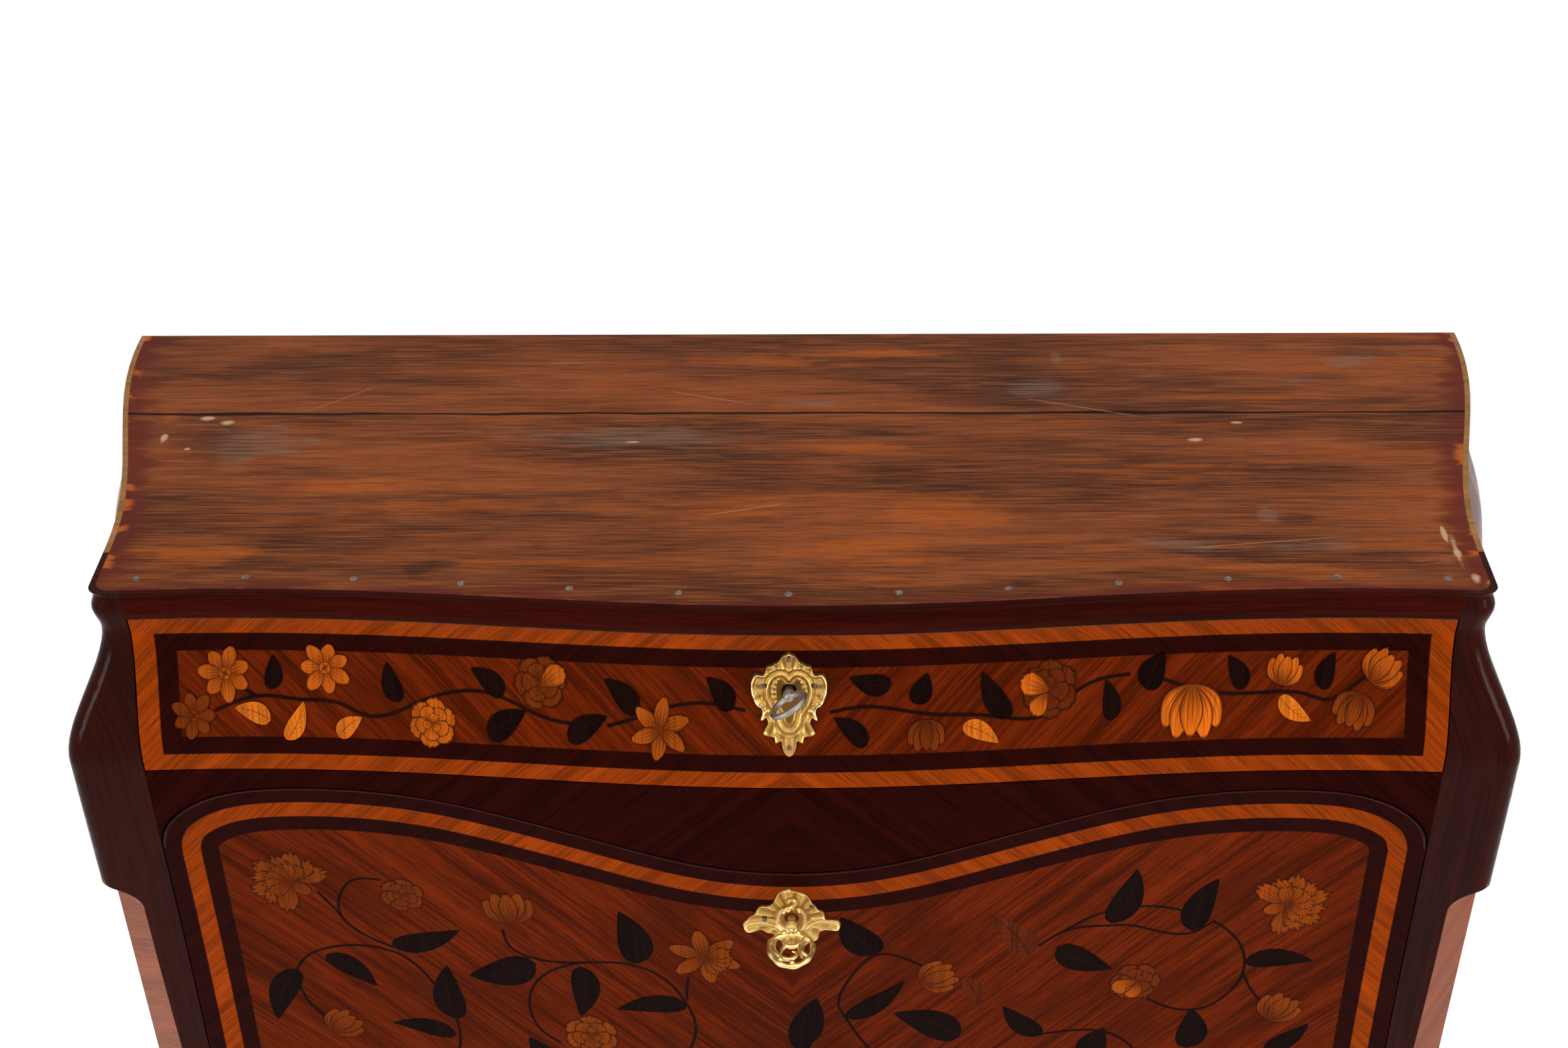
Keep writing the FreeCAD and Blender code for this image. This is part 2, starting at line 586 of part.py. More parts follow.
# Pigeonholes and small drawers behind the fall
nest_back = BACK_PANEL_Y
half = NEST_SIDE_HALF
inner_half = half - NEST_BOARD
nest_top = NEST_TOP_Z + NEST_SHELF
nest_sides = []
for side, sign in SIDES:
    x = sorted((sign * inner_half, sign * half))
    nest_sides.append(box(x[0], x[1], NEST_Y, nest_back, DECK_Z, nest_top))
save("nest_sides", group(nest_sides))
for name, z in (("low", NEST_LOW_Z), ("high", NEST_HIGH_Z), ("top", NEST_TOP_Z)):
    save("nest_shelf_" + name, box(-inner_half, inner_half, NEST_Y, nest_back, z, z + NEST_SHELF))
dividers = []
for x in (-NEST_DRAWER_SPLIT, NEST_DRAWER_SPLIT):
    dividers.append(box(x - NEST_SHELF / 2, x + NEST_SHELF / 2, NEST_Y, nest_back, DECK_Z, NEST_LOW_Z))
save("nest_drawer_dividers", group(dividers))
walls = []
for i in range(1, PIGEONHOLES):
    x = -inner_half + 2 * inner_half * i / PIGEONHOLES
    walls.append(box(x - PIGEONHOLE_WALL / 2, x + PIGEONHOLE_WALL / 2, NEST_Y, nest_back,
                     NEST_LOW_Z + NEST_SHELF, NEST_HIGH_Z))
save("nest_pigeonhole_walls", group(walls))

gap = SMALL_DRAWER_GAP
bay_edges = (-inner_half, -NEST_DRAWER_SPLIT + NEST_SHELF / 2, -NEST_DRAWER_SPLIT - NEST_SHELF / 2,
             NEST_DRAWER_SPLIT - NEST_SHELF / 2, NEST_DRAWER_SPLIT + NEST_SHELF / 2, inner_half)
bays = (("left", bay_edges[0], bay_edges[2]), ("middle", bay_edges[1], bay_edges[3]),
        ("right", bay_edges[4], bay_edges[5]))
for name, bay_left, bay_right in bays:
    x0 = bay_left + gap
    x1 = bay_right - gap
    z0 = DECK_Z + RUNNING_GAP
    z1 = NEST_LOW_Z - gap
    front_board = box(x0, x1, NEST_Y, NEST_Y + SMALL_DRAWER_FRONT, z0, z1)
    wall = SMALL_DRAWER_WALL
    tray_y = NEST_Y + SMALL_DRAWER_FRONT
    tray_end = tray_y + SMALL_DRAWER_LENGTH - SMALL_DRAWER_FRONT
    tray = box(x0, x1, tray_y, tray_end, z0, z1 - wall)
    tray = tray.cut(box(x0 + wall, x1 - wall, tray_y + wall, tray_end - wall, z0 + wall, z1))
    save("small_drawer_" + name, group([front_board, tray]))
    middle = Vector((x0 + x1) / 2, NEST_Y, (z0 + z1) / 2)
    neck = rod(KNOB_RADIUS / 2, middle, Vector(0, -1, 0), KNOB_LENGTH)
    ball = Part.makeSphere(KNOB_RADIUS, middle + Vector(0, -KNOB_LENGTH, 0))
    save("small_drawer_" + name + "_knob", neck.fuse(ball).removeSplitter())

# Drawer
tilt = math.radians(DRAWER_KEY_TILT)
drawer_key_dir = Vector(0, math.cos(tilt), -math.sin(tilt))
drawer_key_start = Vector(0, front_y(0.0, drawer_key_z), drawer_key_z)
lock_run = (DRAWER_BACK_Y - LOCK_DEPTH + LOCK_WALL - drawer_key_start.y) / math.cos(tilt)
drawer_lock_z = drawer_key_z - lock_run * math.sin(tilt)
drawer_bolt_low = drawer_lock_z + KEY_BIT + 3.0
drawer_bolt_top = DRAWER_TOP_Z - FACE_GAP - BOLT_INSET
drawer_bolt_path = bolt_way(0.0, drawer_bolt_y, drawer_bolt_low - BOLT_GAP, DRAWER_TOP_Z)
shaft_bore = rod(KEY_BORE, drawer_key_start - drawer_key_dir * 20.0, drawer_key_dir, lock_run + 24.0)
shaft_fit = rod(KEY_RADIUS + FIT_GAP, drawer_key_start, drawer_key_dir, lock_run + LOCK_WALL)
case, pocket = lock_case(0.0, DRAWER_BACK_Y, drawer_lock_z, shaft_fit, drawer_bolt_path)
face = UPPER.common(box(-FACE_HALF, FACE_HALF, front, DRAWER_BACK_Y,
                        DRAWER_LOW_Z + FACE_GAP, DRAWER_TOP_Z - FACE_GAP))
slot_cut = box(-KEYHOLE_SLOT / 2, KEYHOLE_SLOT / 2, front, DRAWER_BACK_Y - LOCK_DEPTH,
               drawer_key_z - KEYHOLE_DROP, drawer_key_z)
face = face.cut(pocket).cut(shaft_bore).cut(drawer_bolt_path).cut(slot_cut)
save("drawer_front", face)
save("drawer_lock_case", case)
bolt_half = BOLT_WIDTH / 2
bolt_front = drawer_bolt_y - BOLT_THICK / 2
bolt_back = drawer_bolt_y + BOLT_THICK / 2
bolt_head = box(-bolt_half, bolt_half, bolt_front, bolt_back, drawer_bolt_top - BOLT_HEAD, drawer_bolt_top)
bolt_tail = box(-BOLT_TAIL / 2, BOLT_TAIL / 2, bolt_front, bolt_back, drawer_bolt_low, drawer_bolt_top - BOLT_HEAD)
save("drawer_bolt", bolt_head.fuse(bolt_tail).removeSplitter())
side_low = DRAWER_LOW_Z + RUNNING_GAP
drawer_sides = []
for side, sign in SIDES:
    x = sorted((sign * (DRAWER_SIDE_HALF - DRAWER_SIDE), sign * DRAWER_SIDE_HALF))
    drawer_sides.append(box(x[0], x[1], DRAWER_BACK_Y, DRAWER_END_Y, side_low, side_low + DRAWER_SIDE_HEIGHT))
save("drawer_sides", group(drawer_sides))
half = DRAWER_SIDE_HALF - DRAWER_SIDE
base_z = DRAWER_LOW_Z + DRAWER_BASE_LIFT
save("drawer_bottom", box(-half, half, DRAWER_BACK_Y, DRAWER_END_Y, base_z, base_z + DRAWER_BASE))
save("drawer_back", box(-half, half, DRAWER_END_Y - DRAWER_SIDE, DRAWER_END_Y,
                        base_z + DRAWER_BASE, side_low + DRAWER_SIDE_HEIGHT))


def escutcheon(case_shape, x, z, wide, up, down, hole):
    """Plate that lies on the case shape, cut to a cartouche outline."""
    prism = lobed_plate(x, z, wide, up, down, front, INNER_Y)
    skin = case_shape.copy()
    skin.translate(Vector(0, -ESCUTCHEON, 0))
    return skin.common(prism).cut(case_shape).cut(hole)


hole = shaft_bore.fuse(box(-KEYHOLE_SLOT / 2, KEYHOLE_SLOT / 2, front, DRAWER_BACK_Y,
                           drawer_key_z - KEYHOLE_DROP, drawer_key_z))
save("drawer_escutcheon", escutcheon(UPPER, 0.0, drawer_key_z, ESCUTCHEON_WIDE, ESCUTCHEON_UP,
                                     ESCUTCHEON_DOWN, hole))
ear = 0.33 * ESCUTCHEON_WIDE
save("drawer_escutcheon_pins", pins(((0.0, drawer_key_z + 0.78 * ESCUTCHEON_UP),
                                     (-ear, drawer_key_z + 0.15 * ESCUTCHEON_UP),
                                     (ear, drawer_key_z + 0.15 * ESCUTCHEON_UP),
                                     (0.0, drawer_key_z - 0.86 * ESCUTCHEON_DOWN)), front_y))


def key_shaft(start, direction, stem, run, turn):
    """Shaft with a collar and a bit; the bit lies in the plane of the bow, turned from level."""
    whole = rod(KEY_RADIUS, start - direction * stem, direction, stem + run)
    collar = rod(KEY_RADIUS + 1.0, start - direction * (0.72 * stem), direction, 0.2 * stem)
    across = Vector(math.cos(math.radians(turn)), 0, math.sin(math.radians(turn)))
    bit = box(0, KEY_BIT, 0, KEY_BIT_LENGTH, -KEY_BIT_THICK / 2, KEY_BIT_THICK / 2)
    bit.rotate(Vector(0, 0, 0), Vector(0, 1, 0), -turn)
    tip = start + direction * (run - KEY_BIT_LENGTH - 1.0)
    bit.rotate(Vector(0, 0, 0), Vector(1, 0, 0), math.degrees(math.atan2(direction.z, direction.y)))
    bit.translate(tip)
    return whole.fuse(collar).fuse(bit), across


key_run = lock_run + KEY_BIT_LENGTH + 3.0
shaft, across = key_shaft(drawer_key_start, drawer_key_dir, DRAWER_KEY_STEM, key_run, DRAWER_KEY_TURN)
ring = Part.makeTorus(KEY_RING_RADIUS, KEY_RING_WIRE)
normal = across.cross(drawer_key_dir)
ring.Placement = FreeCAD.Placement(Vector(0, 0, 0), FreeCAD.Rotation(Vector(0, 0, 1), normal))
ring.translate(drawer_key_start - drawer_key_dir * (DRAWER_KEY_STEM + KEY_RING_RADIUS - KEY_RING_WIRE / 2))
save("drawer_key", shaft.fuse(ring).removeSplitter())

# Fall front
fall = LOWER.common(extrude_y(fall_outline(0.0), front, INNER_Y))
edge_cut = box(-WIDE, WIDE, front, INNER_Y, FALL_LOW_Z - FACE_GAP, FALL_PIVOT_Z)
edge_cut = edge_cut.cut(rod(FALL_HALF_THICK, Vector(-WIDE, FALL_PIVOT_Y, FALL_PIVOT_Z), Vector(1, 0, 0), 2 * WIDE))
fall = fall.cut(edge_cut)
for side, sign in SIDES:
    fall = fall.cut(fall_pivot(sign, PIVOT_RADIUS))
leather_low = DECK_Z + LEATHER_MARGIN
leather_y = INNER_Y - LEATHER_SINK
sheet = box(-LEATHER_HALF, LEATHER_HALF, leather_y - LEATHER, leather_y, leather_low, leather_low + LEATHER_LENGTH)
fall = fall.cut(box(-LEATHER_HALF, LEATHER_HALF, leather_y - LEATHER, INNER_Y, leather_low,
                    leather_low + LEATHER_LENGTH))
lock_back = INNER_Y - LEATHER_SINK
fall_bolt_low = fall_key_z + KEY_BIT + 3.0
fall_bolt_top = fall_top_z - BOLT_INSET
fall_bolt_path = bolt_way(0.0, fall_bolt_y, fall_bolt_low - BOLT_GAP, fall_top_z + FACE_GAP)
fall_start = Vector(0, FALL_FRONT_Y, fall_key_z)
fall_run = lock_back - LOCK_DEPTH + LOCK_WALL - FALL_FRONT_Y
shaft_fit = rod(KEY_RADIUS + FIT_GAP, fall_start, Vector(0, 1, 0), fall_run + LOCK_WALL)
case, pocket = lock_case(0.0, lock_back, fall_key_z, shaft_fit, fall_bolt_path)
pocket = pocket.fuse(box(-LOCK_WIDTH / 2, LOCK_WIDTH / 2, lock_back, INNER_Y,
                         fall_key_z - LOCK_HEIGHT / 2, fall_key_z + LOCK_HEIGHT / 2))
way = keyhole(0.0, fall_key_z, front, lock_back - LOCK_DEPTH)
save("fall_panel", fall.cut(pocket).cut(fall_bolt_path).cut(way))
save("fall_leather", sheet)
save("fall_lock_case", case)
save("fall_bolt", box(-bolt_half, bolt_half, fall_bolt_y - BOLT_THICK / 2, fall_bolt_y + BOLT_THICK / 2,
                      fall_bolt_low, fall_bolt_top))
save("fall_pivots", group([fall_pivot(sign, PIVOT_RADIUS) for side, sign in SIDES]))
save("fall_escutcheon", escutcheon(LOWER, 0.0, fall_key_z, FALL_ESCUTCHEON_WIDE, FALL_ESCUTCHEON_UP,
                                   FALL_ESCUTCHEON_DOWN, way))
save("fall_escutcheon_pins", pins(((-0.27 * FALL_ESCUTCHEON_WIDE, fall_key_z),
                                   (0.20 * FALL_ESCUTCHEON_WIDE, fall_key_z + 0.30 * FALL_ESCUTCHEON_UP)),
                                  front_y))

shaft, across = key_shaft(fall_start, Vector(0, 1, 0), FALL_KEY_STEM, fall_run + KEY_BIT_LENGTH + 2.0, 0.0)
bow_y = FALL_FRONT_Y - KEY_REACH + FALL_BOW_LENGTH / 2
plate = Part.makeCylinder(FALL_BOW_LENGTH / 2, FALL_BOW_THICK, Vector(0, bow_y, fall_key_z - FALL_BOW_THICK / 2))
for sign in (-1.0, 1.0):
    eye = Vector(sign * 0.24 * FALL_BOW_WIDTH, bow_y, fall_key_z - FALL_BOW_THICK)
    plate = plate.cut(rod(0.17 * FALL_BOW_WIDTH, eye, Vector(0, 0, 1), 2 * FALL_BOW_THICK))
save("fall_key", shaft.fuse(plate).removeSplitter())

# Quadrant stays and their guides: arcs about the pivot line of the fall
outer_radius = STAY_INNER_RADIUS + STAY_WIDTH
guide_back = LIP_Y + GUIDE_FRONT + GUIDE_DEPTH
lug_angle = math.degrees(math.asin((guide_back + FACE_GAP / 4 - FALL_PIVOT_Y) / (STAY_INNER_RADIUS - STAY_LUG_EXTRA)))
stay_end = 90.0 + lug_angle + STAY_LUG_DEG
stay_start = math.degrees(math.asin((INNER_Y - FALL_PIVOT_Y) / outer_radius))


def arc_bar(x, inner, outer, thick, start, stop):
    """Piece of a flat ring about the pivot line; angles run from +Z to +Y."""
    ring_face = Part.makeCylinder(outer, thick, Vector(0, 0, 0), Vector(1, 0, 0), 360.0)
    ring_face = ring_face.cut(Part.makeCylinder(inner, thick, Vector(0, 0, 0), Vector(1, 0, 0)))
    far = 4.0 * outer
    middle = math.radians((start + stop) / 2.0)
    points = [Vector(0, 0, 0)]
    for angle in (math.radians(start), middle, math.radians(stop)):
        points.append(Vector(0, far * math.sin(angle), far * math.cos(angle)))
    wedge = Part.Face(Part.makePolygon(points + points[:1])).extrude(Vector(thick, 0, 0))
    bar = ring_face.common(wedge)
    bar.translate(Vector(x, FALL_PIVOT_Y, FALL_PIVOT_Z))
    return bar


stays = []
guides = []
for side, sign in SIDES:
    x0 = min(sign * STAY_X, sign * (STAY_X + STAY_THICK))
    bar = arc_bar(x0, STAY_INNER_RADIUS, outer_radius, STAY_THICK, stay_start - 1.0, stay_end)
    lug = arc_bar(x0, STAY_INNER_RADIUS - STAY_LUG_EXTRA, outer_radius + STAY_LUG_EXTRA, STAY_THICK,
                  stay_end - STAY_LUG_DEG, stay_end)
    middle_z = FALL_PIVOT_Z + math.sqrt((STAY_INNER_RADIUS + STAY_WIDTH / 2) ** 2 - FALL_HALF_THICK ** 2)
    foot = box(x0, x0 + STAY_THICK, INNER_Y, INNER_Y + STAY_FOOT,
               middle_z - STAY_FOOT_LENGTH / 2, middle_z + STAY_FOOT_LENGTH / 2)
    behind = box(x0 - 1, x0 + STAY_THICK + 1, INNER_Y, BACK_Y, 0, TOP_HEIGHT)
    stays.append(bar.fuse(lug).fuse(foot).common(behind).removeSplitter())
    x = sorted((sign * (STAY_X - 2.0), sign * STILE_HALF))
    guide = box(x[0], x[1], LIP_Y + GUIDE_FRONT, guide_back, middle_z - STAY_WIDTH / 2 - GUIDE_EXTRA,
                middle_z + STAY_WIDTH / 2 + GUIDE_EXTRA)
    guides.append(guide.cut(arc_bar(x0 - GUIDE_GAP, STAY_INNER_RADIUS - GUIDE_GAP, outer_radius + GUIDE_GAP,
                                    STAY_THICK + 2 * GUIDE_GAP, -60.0, 100.0)))
save("fall_stays", group(stays))
save("stay_guides", group(guides))

# Doors of the cupboard
door_lock_back = INNER_Y - LEATHER_SINK
door_bolt_y = door_lock_back - LOCK_DEPTH / 2
door_lock_x = DOOR_KEY_X + FACE_GAP
door_bolt_half = BOLT_WIDTH / 2
door_bolt_right = DOOR_KEY_X - KEY_BIT - 3.0
door_bolt_left = FACE_GAP / 2 + BOLT_INSET


def door_bolt_way(x0, x1, gap_size):
    return box(x0, x1, door_bolt_y - BOLT_THICK / 2 - gap_size, door_bolt_y + BOLT_THICK / 2 + gap_size,
               DOOR_KEY_Z - door_bolt_half - gap_size, DOOR_KEY_Z + door_bolt_half + gap_size)


for side, sign in SIDES:
    x = sorted((sign * FACE_GAP / 2, sign * FACE_HALF))
    door = LOWER.common(box(x[0], x[1], front, INNER_Y, DOOR_BOTTOM, DOOR_TOP))
    corner = sorted((sign * DOOR_PIVOT_X, sign * (FACE_HALF + 1.0)))
    corner_cut = box(corner[0], corner[1], front, DOOR_PIVOT_Y, DOOR_BOTTOM, DOOR_TOP)
    corner_cut = corner_cut.cut(rod(DOOR_PIVOT_INSET, Vector(sign * DOOR_PIVOT_X, DOOR_PIVOT_Y, DOOR_BOTTOM),
                                    Vector(0, 0, 1), DOOR_TOP - DOOR_BOTTOM))
    door = door.cut(corner_cut).cut(door_pins(sign, DOOR_PIN_RADIUS, 0.0))
    way = keyhole(sign * DOOR_KEY_X, DOOR_KEY_Z, front, door_lock_back - LOCK_DEPTH)
    plate_cut = way
    if sign > 0:
        door_start = Vector(DOOR_KEY_X, front_y(DOOR_KEY_X, DOOR_KEY_Z), DOOR_KEY_Z)
        door_run = door_lock_back - LOCK_DEPTH + LOCK_WALL - door_start.y
        shaft_fit = rod(KEY_RADIUS + FIT_GAP, door_start, Vector(0, 1, 0), door_run + LOCK_WALL)
        path = door_bolt_way(-1.0, door_bolt_right + BOLT_GAP, BOLT_GAP)
        case, pocket = lock_case(door_lock_x + LOCK_WIDTH / 2 - KEYHOLE_DROP, door_lock_back, DOOR_KEY_Z,
                                 shaft_fit, path)
        open_back = pocket.copy()
        open_back.translate(Vector(0, LEATHER_SINK, 0))
        door = door.cut(pocket).cut(open_back).cut(path).cut(way)
        save("door_lock_case", case)
        save("door_bolt", door_bolt_way(door_bolt_left, door_bolt_right, 0.0))
        shaft, across = key_shaft(door_start, Vector(0, 1, 0), DRAWER_KEY_STEM, door_run + KEY_BIT_LENGTH + 2.0, 0.0)
        ring = Part.makeTorus(KEY_RING_RADIUS, KEY_RING_WIRE)
        ring.translate(door_start + Vector(0, -DRAWER_KEY_STEM - KEY_RING_RADIUS + KEY_RING_WIRE / 2, 0))
        save("door_key", shaft.fuse(ring).removeSplitter())
    else:
        mortise = BOLT_THROW + MORTISE_EXTRA
        door = door.cut(door_bolt_way(-mortise, 0.0, BOLT_GAP))
    save("door_panel_" + side, door)
    save("door_pivots_" + side, door_pins(sign, DOOR_PIN_RADIUS, 0.0))
    share = DOOR_ESCUTCHEON_SHARE
    save("door_escutcheon_" + side, escutcheon(LOWER, sign * DOOR_KEY_X, DOOR_KEY_Z, share * ESCUTCHEON_WIDE,
                                               share * ESCUTCHEON_UP, share * ESCUTCHEON_DOWN, plate_cut))
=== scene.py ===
"""Finish for a bowed and swelling fall-front writing cabinet: veneers, marquetry, gilt mounts and keys."""

import json
import math

import bpy
import numpy as np
from mathutils import Matrix, Vector


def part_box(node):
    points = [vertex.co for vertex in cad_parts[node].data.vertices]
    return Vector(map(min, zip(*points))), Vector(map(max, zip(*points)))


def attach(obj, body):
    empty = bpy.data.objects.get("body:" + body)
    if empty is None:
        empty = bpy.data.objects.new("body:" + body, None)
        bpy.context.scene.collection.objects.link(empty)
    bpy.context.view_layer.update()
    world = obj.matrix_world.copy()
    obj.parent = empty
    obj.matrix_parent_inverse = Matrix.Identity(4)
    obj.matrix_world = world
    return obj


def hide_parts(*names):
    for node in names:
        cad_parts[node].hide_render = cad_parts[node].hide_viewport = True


bl_info = {
    "name": "Writing Cabinet Finish",
    "version": (1, 0, 0),
    "blender": (4, 5, 0),
    "location": "View3D > Sidebar > Cabinet",
    "description": "Veneers, marquetry, gilt mounts and keys of a fall-front writing cabinet",
    "category": "Object",
}

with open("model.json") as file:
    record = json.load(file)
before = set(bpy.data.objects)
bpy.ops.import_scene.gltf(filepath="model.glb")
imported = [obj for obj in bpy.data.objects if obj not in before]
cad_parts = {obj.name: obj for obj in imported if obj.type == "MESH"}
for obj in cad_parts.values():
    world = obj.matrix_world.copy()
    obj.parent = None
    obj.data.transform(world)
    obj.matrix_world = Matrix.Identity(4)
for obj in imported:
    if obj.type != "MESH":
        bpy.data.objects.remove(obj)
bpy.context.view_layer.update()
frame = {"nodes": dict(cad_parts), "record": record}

# Shape of the case, in metres, as the solids have it
TOP_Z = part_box("top_board_front")[1][2]
BACK_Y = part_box("stile_rear_left")[1][1]
TOP_DEPTH = 0.338
LIP_Y = BACK_Y - TOP_DEPTH
FRONT_HALF = 0.456
BACK_FLARE = 0.043
FLARE_START = 0.070
FLARE_LENGTH = 0.250
BOW = 0.0185
BOW_LOW = 0.006
BOW_WAVE = 0.360
BOW_FADE_LOW = 0.730
BOW_FADE_HIGH = 1.150
LIP_PROUD = 0.002
LIP_HEIGHT = 0.018
NECK_HEIGHT = 0.014
BULGE = 0.0305
SWELL_START = 0.030
SWELL_HEIGHT = 0.092
DRAWER_KEY_Z = TOP_Z - 0.062
FALL_KEY_Z = TOP_Z - 0.249
DOOR_KEY_X = 0.030
DOOR_KEY_Z = 0.4395
FACE_HALF = 0.4345
SHEET = 0.0007
CANT_TOP_Z = 1.168

# How far in from the edge of a side its bands reach, in metres
SIDE_REACHES = (0.070, 0.058, 0.044)

# Joint between two veneers: its blur, the half width of the dark line along it and how dark that is
JOINT_BLUR = 0.0002
JOINT_LINE = 0.0006
JOINT_DARK = 0.55

# Crack of the top, in metres: its two ends along x, how far it fades at them, and its y
CRACK_START = 0.300
CRACK_END = 0.432
CRACK_FADE = 0.012
CRACK_Y = -0.086

# Camera of the fitted view
CAMERA_PLACE = (0.0256, -1.26165, 2.2884)
CAMERA_PITCH = math.radians(36.0)
CAMERA_YAW = 0.0243
CAMERA_ROLL = 0.0152
CAMERA_LENS = 51.445
CAMERA_SENSOR = 36.0

FLOOR_HALF = 9.0

# Places on the front are (x, z) in millimetres
MM = 0.001


def srgb(red, green, blue):
    """Colour given as 0 to 255 display values, in linear light."""
    value = np.array([red, green, blue]) / 255.0
    linear = np.where(value <= 0.04045, value / 12.92, ((value + 0.055) / 1.055) ** 2.4)
    return tuple(float(v) for v in linear)


OAK = srgb(150, 105, 62)
GLUE = srgb(24, 9, 6)


def colour_property(name, description, *display):
    """Colour that a user may change; its default is given as 0 to 255 display values."""
    return bpy.props.FloatVectorProperty(
        name=name, description=description, subtype="COLOR", default=srgb(*display), min=0.0, max=1.0)


def number_property(name, description, default, unit="NONE"):
    """Size or level that a user may change."""
    return bpy.props.FloatProperty(name=name, description=description, default=default, unit=unit)


class CabinetFinish(bpy.types.PropertyGroup):
    """Colours and sizes that a user would change."""
    tulipwood: colour_property("Tulipwood", "Colour of the light cross-banding", 146, 56, 6)
    field: colour_property("Field", "Colour of the diagonal veneer of drawer, fall and doors", 98, 30, 3)
    rosewood: colour_property("Rosewood", "Colour of the dark rails, stiles and bands", 38, 5, 2)
    leaf: colour_property("Leaf", "Colour of the stained leaves", 20, 6, 4)
    flower: colour_property("Flower", "Colour of the inlaid flowers", 218, 104, 22)
    gilt: colour_property("Gilt", "Colour of the gilt bronze", 240, 202, 122)
    top_wood: colour_property("Top wood", "Colour of the bare boards of the top", 116, 60, 32)
    light_band: number_property("Light band", "Width of the tulipwood cross-banding", 0.0132, "LENGTH")
    dark_band: number_property("Dark band", "Width of the dark bands", 0.0122, "LENGTH")
    stem_width: number_property("Stem width", "Width of the inlaid stems", 0.0020, "LENGTH")


class StudioLight(bpy.types.PropertyGroup):
    """Light levels of the stage."""
    sky: number_property("Sky", "Strength of the even white light", 0.6)
    key: number_property("Key", "Power of the large lamp above", 24.0, "POWER")
    fill: number_property("Fill", "Power of the front lamps", 9.0, "POWER")
    strip: number_property("Strip", "Power of the narrow side lamps", 9.0, "POWER")


def finish():
    """The colours and sizes set for the cabinet."""
    return bpy.context.scene.cabinet_finish


def ease(t):
    """Smooth step of an array from 0 to 1."""
    t = np.clip(t, 0.0, 1.0)
    return t * t * (3.0 - 2.0 * t)


def swell(z):
    """How far the case stands out at height z: the lip of the top, then the long swelling below the neck."""
    drop = TOP_Z - z
    lip = LIP_PROUD * (1.0 - ease((drop - LIP_HEIGHT) / NECK_HEIGHT))
    return lip + BULGE * ease((drop - SWELL_START) / SWELL_HEIGHT)


def front_y(x, z):
    """Y of the front: a cosine bow in plan whose depth fades downward, moved out by the swelling."""
    share = ease((z - BOW_FADE_LOW) / (BOW_FADE_HIGH - BOW_FADE_LOW))
    bow = BOW_LOW + (BOW - BOW_LOW) * share
    return LIP_Y + bow * 0.5 * (1.0 - np.cos(math.pi * x / BOW_WAVE)) - swell(z)


def smooth_path(points, count):
    """Natural cubic spline through points by chord length, sampled evenly count times."""
    points = np.asarray(points, float)
    chord = np.linalg.norm(np.diff(points, axis=0), axis=1)
    knots = np.concatenate([[0.0], np.cumsum(chord)])
    last = len(points) - 1
    system = np.eye(last + 1)
    right = np.zeros_like(points)
    inner = np.arange(1, last)
    system[inner, inner - 1] = chord[:-1]
    system[inner, inner] = 2.0 * (chord[:-1] + chord[1:])
    system[inner, inner + 1] = chord[1:]
    slope = np.diff(points, axis=0) / chord[:, None]
    right[1:-1] = 6.0 * np.diff(slope, axis=0)
    bend = np.linalg.solve(system, right)
    s = np.linspace(0.0, knots[-1], count)
    k = np.clip(np.searchsorted(knots, s, side="right") - 1, 0, last - 1)
    h = chord[k][:, None]
    a = (knots[k + 1] - s)[:, None]
    b = (s - knots[k])[:, None]
    cubic = (bend[k] * a ** 3 + bend[k + 1] * b ** 3) / (6.0 * h)
    straight = (points[k] / h - bend[k] * h / 6.0) * a + (points[k + 1] / h - bend[k + 1] * h / 6.0) * b
    return cubic + straight


def patch(points, uv, wrap=False):
    """One grid surface: points [n, m, 3], uv [n, m, 2]; wrap joins the last column to the first."""
    return np.asarray(points, float), np.asarray(uv, float), wrap


def build_mesh(name, patches, material, body, attributes=None):
    """Joins grid surfaces into one smooth mesh that rides on a body."""
    verts = []
    faces = []
    loops_uv = []
    start = 0
    for points, uv, wrap in patches:
        n, m = points.shape[:2]
        index = np.arange(n * m).reshape(n, m)
        if wrap:
            index = np.concatenate([index, index[:, :1]], axis=1)
        corners = (index[:-1, :-1], index[:-1, 1:], index[1:, 1:], index[1:, :-1])
        quads = np.stack(corners, axis=-1).reshape(-1, 4)
        verts.append(points.reshape(-1, 3))
        loops_uv.append(uv.reshape(-1, 2)[quads.ravel()])
        faces.append(quads + start)
        start += n * m
    verts = np.concatenate(verts)
    faces = np.concatenate(faces)
    mesh = bpy.data.meshes.new(name)
    mesh.from_pydata(verts.tolist(), [], faces.tolist())
    layer = mesh.uv_layers.new(name="place")
    layer.data.foreach_set("uv", np.concatenate(loops_uv).astype(np.float32).ravel())
    for key, values in (attributes or {}).items():
        layer = mesh.attributes.new(key, "FLOAT", "POINT")
        layer.data.foreach_set("value", values.astype(np.float32).ravel())
    mesh.polygons.foreach_set("use_smooth", np.ones(len(faces), bool))
    mesh.materials.append(material)
    piece = bpy.data.objects.new(name, mesh)
    bpy.context.scene.collection.objects.link(piece)
    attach(piece, body)
    return piece


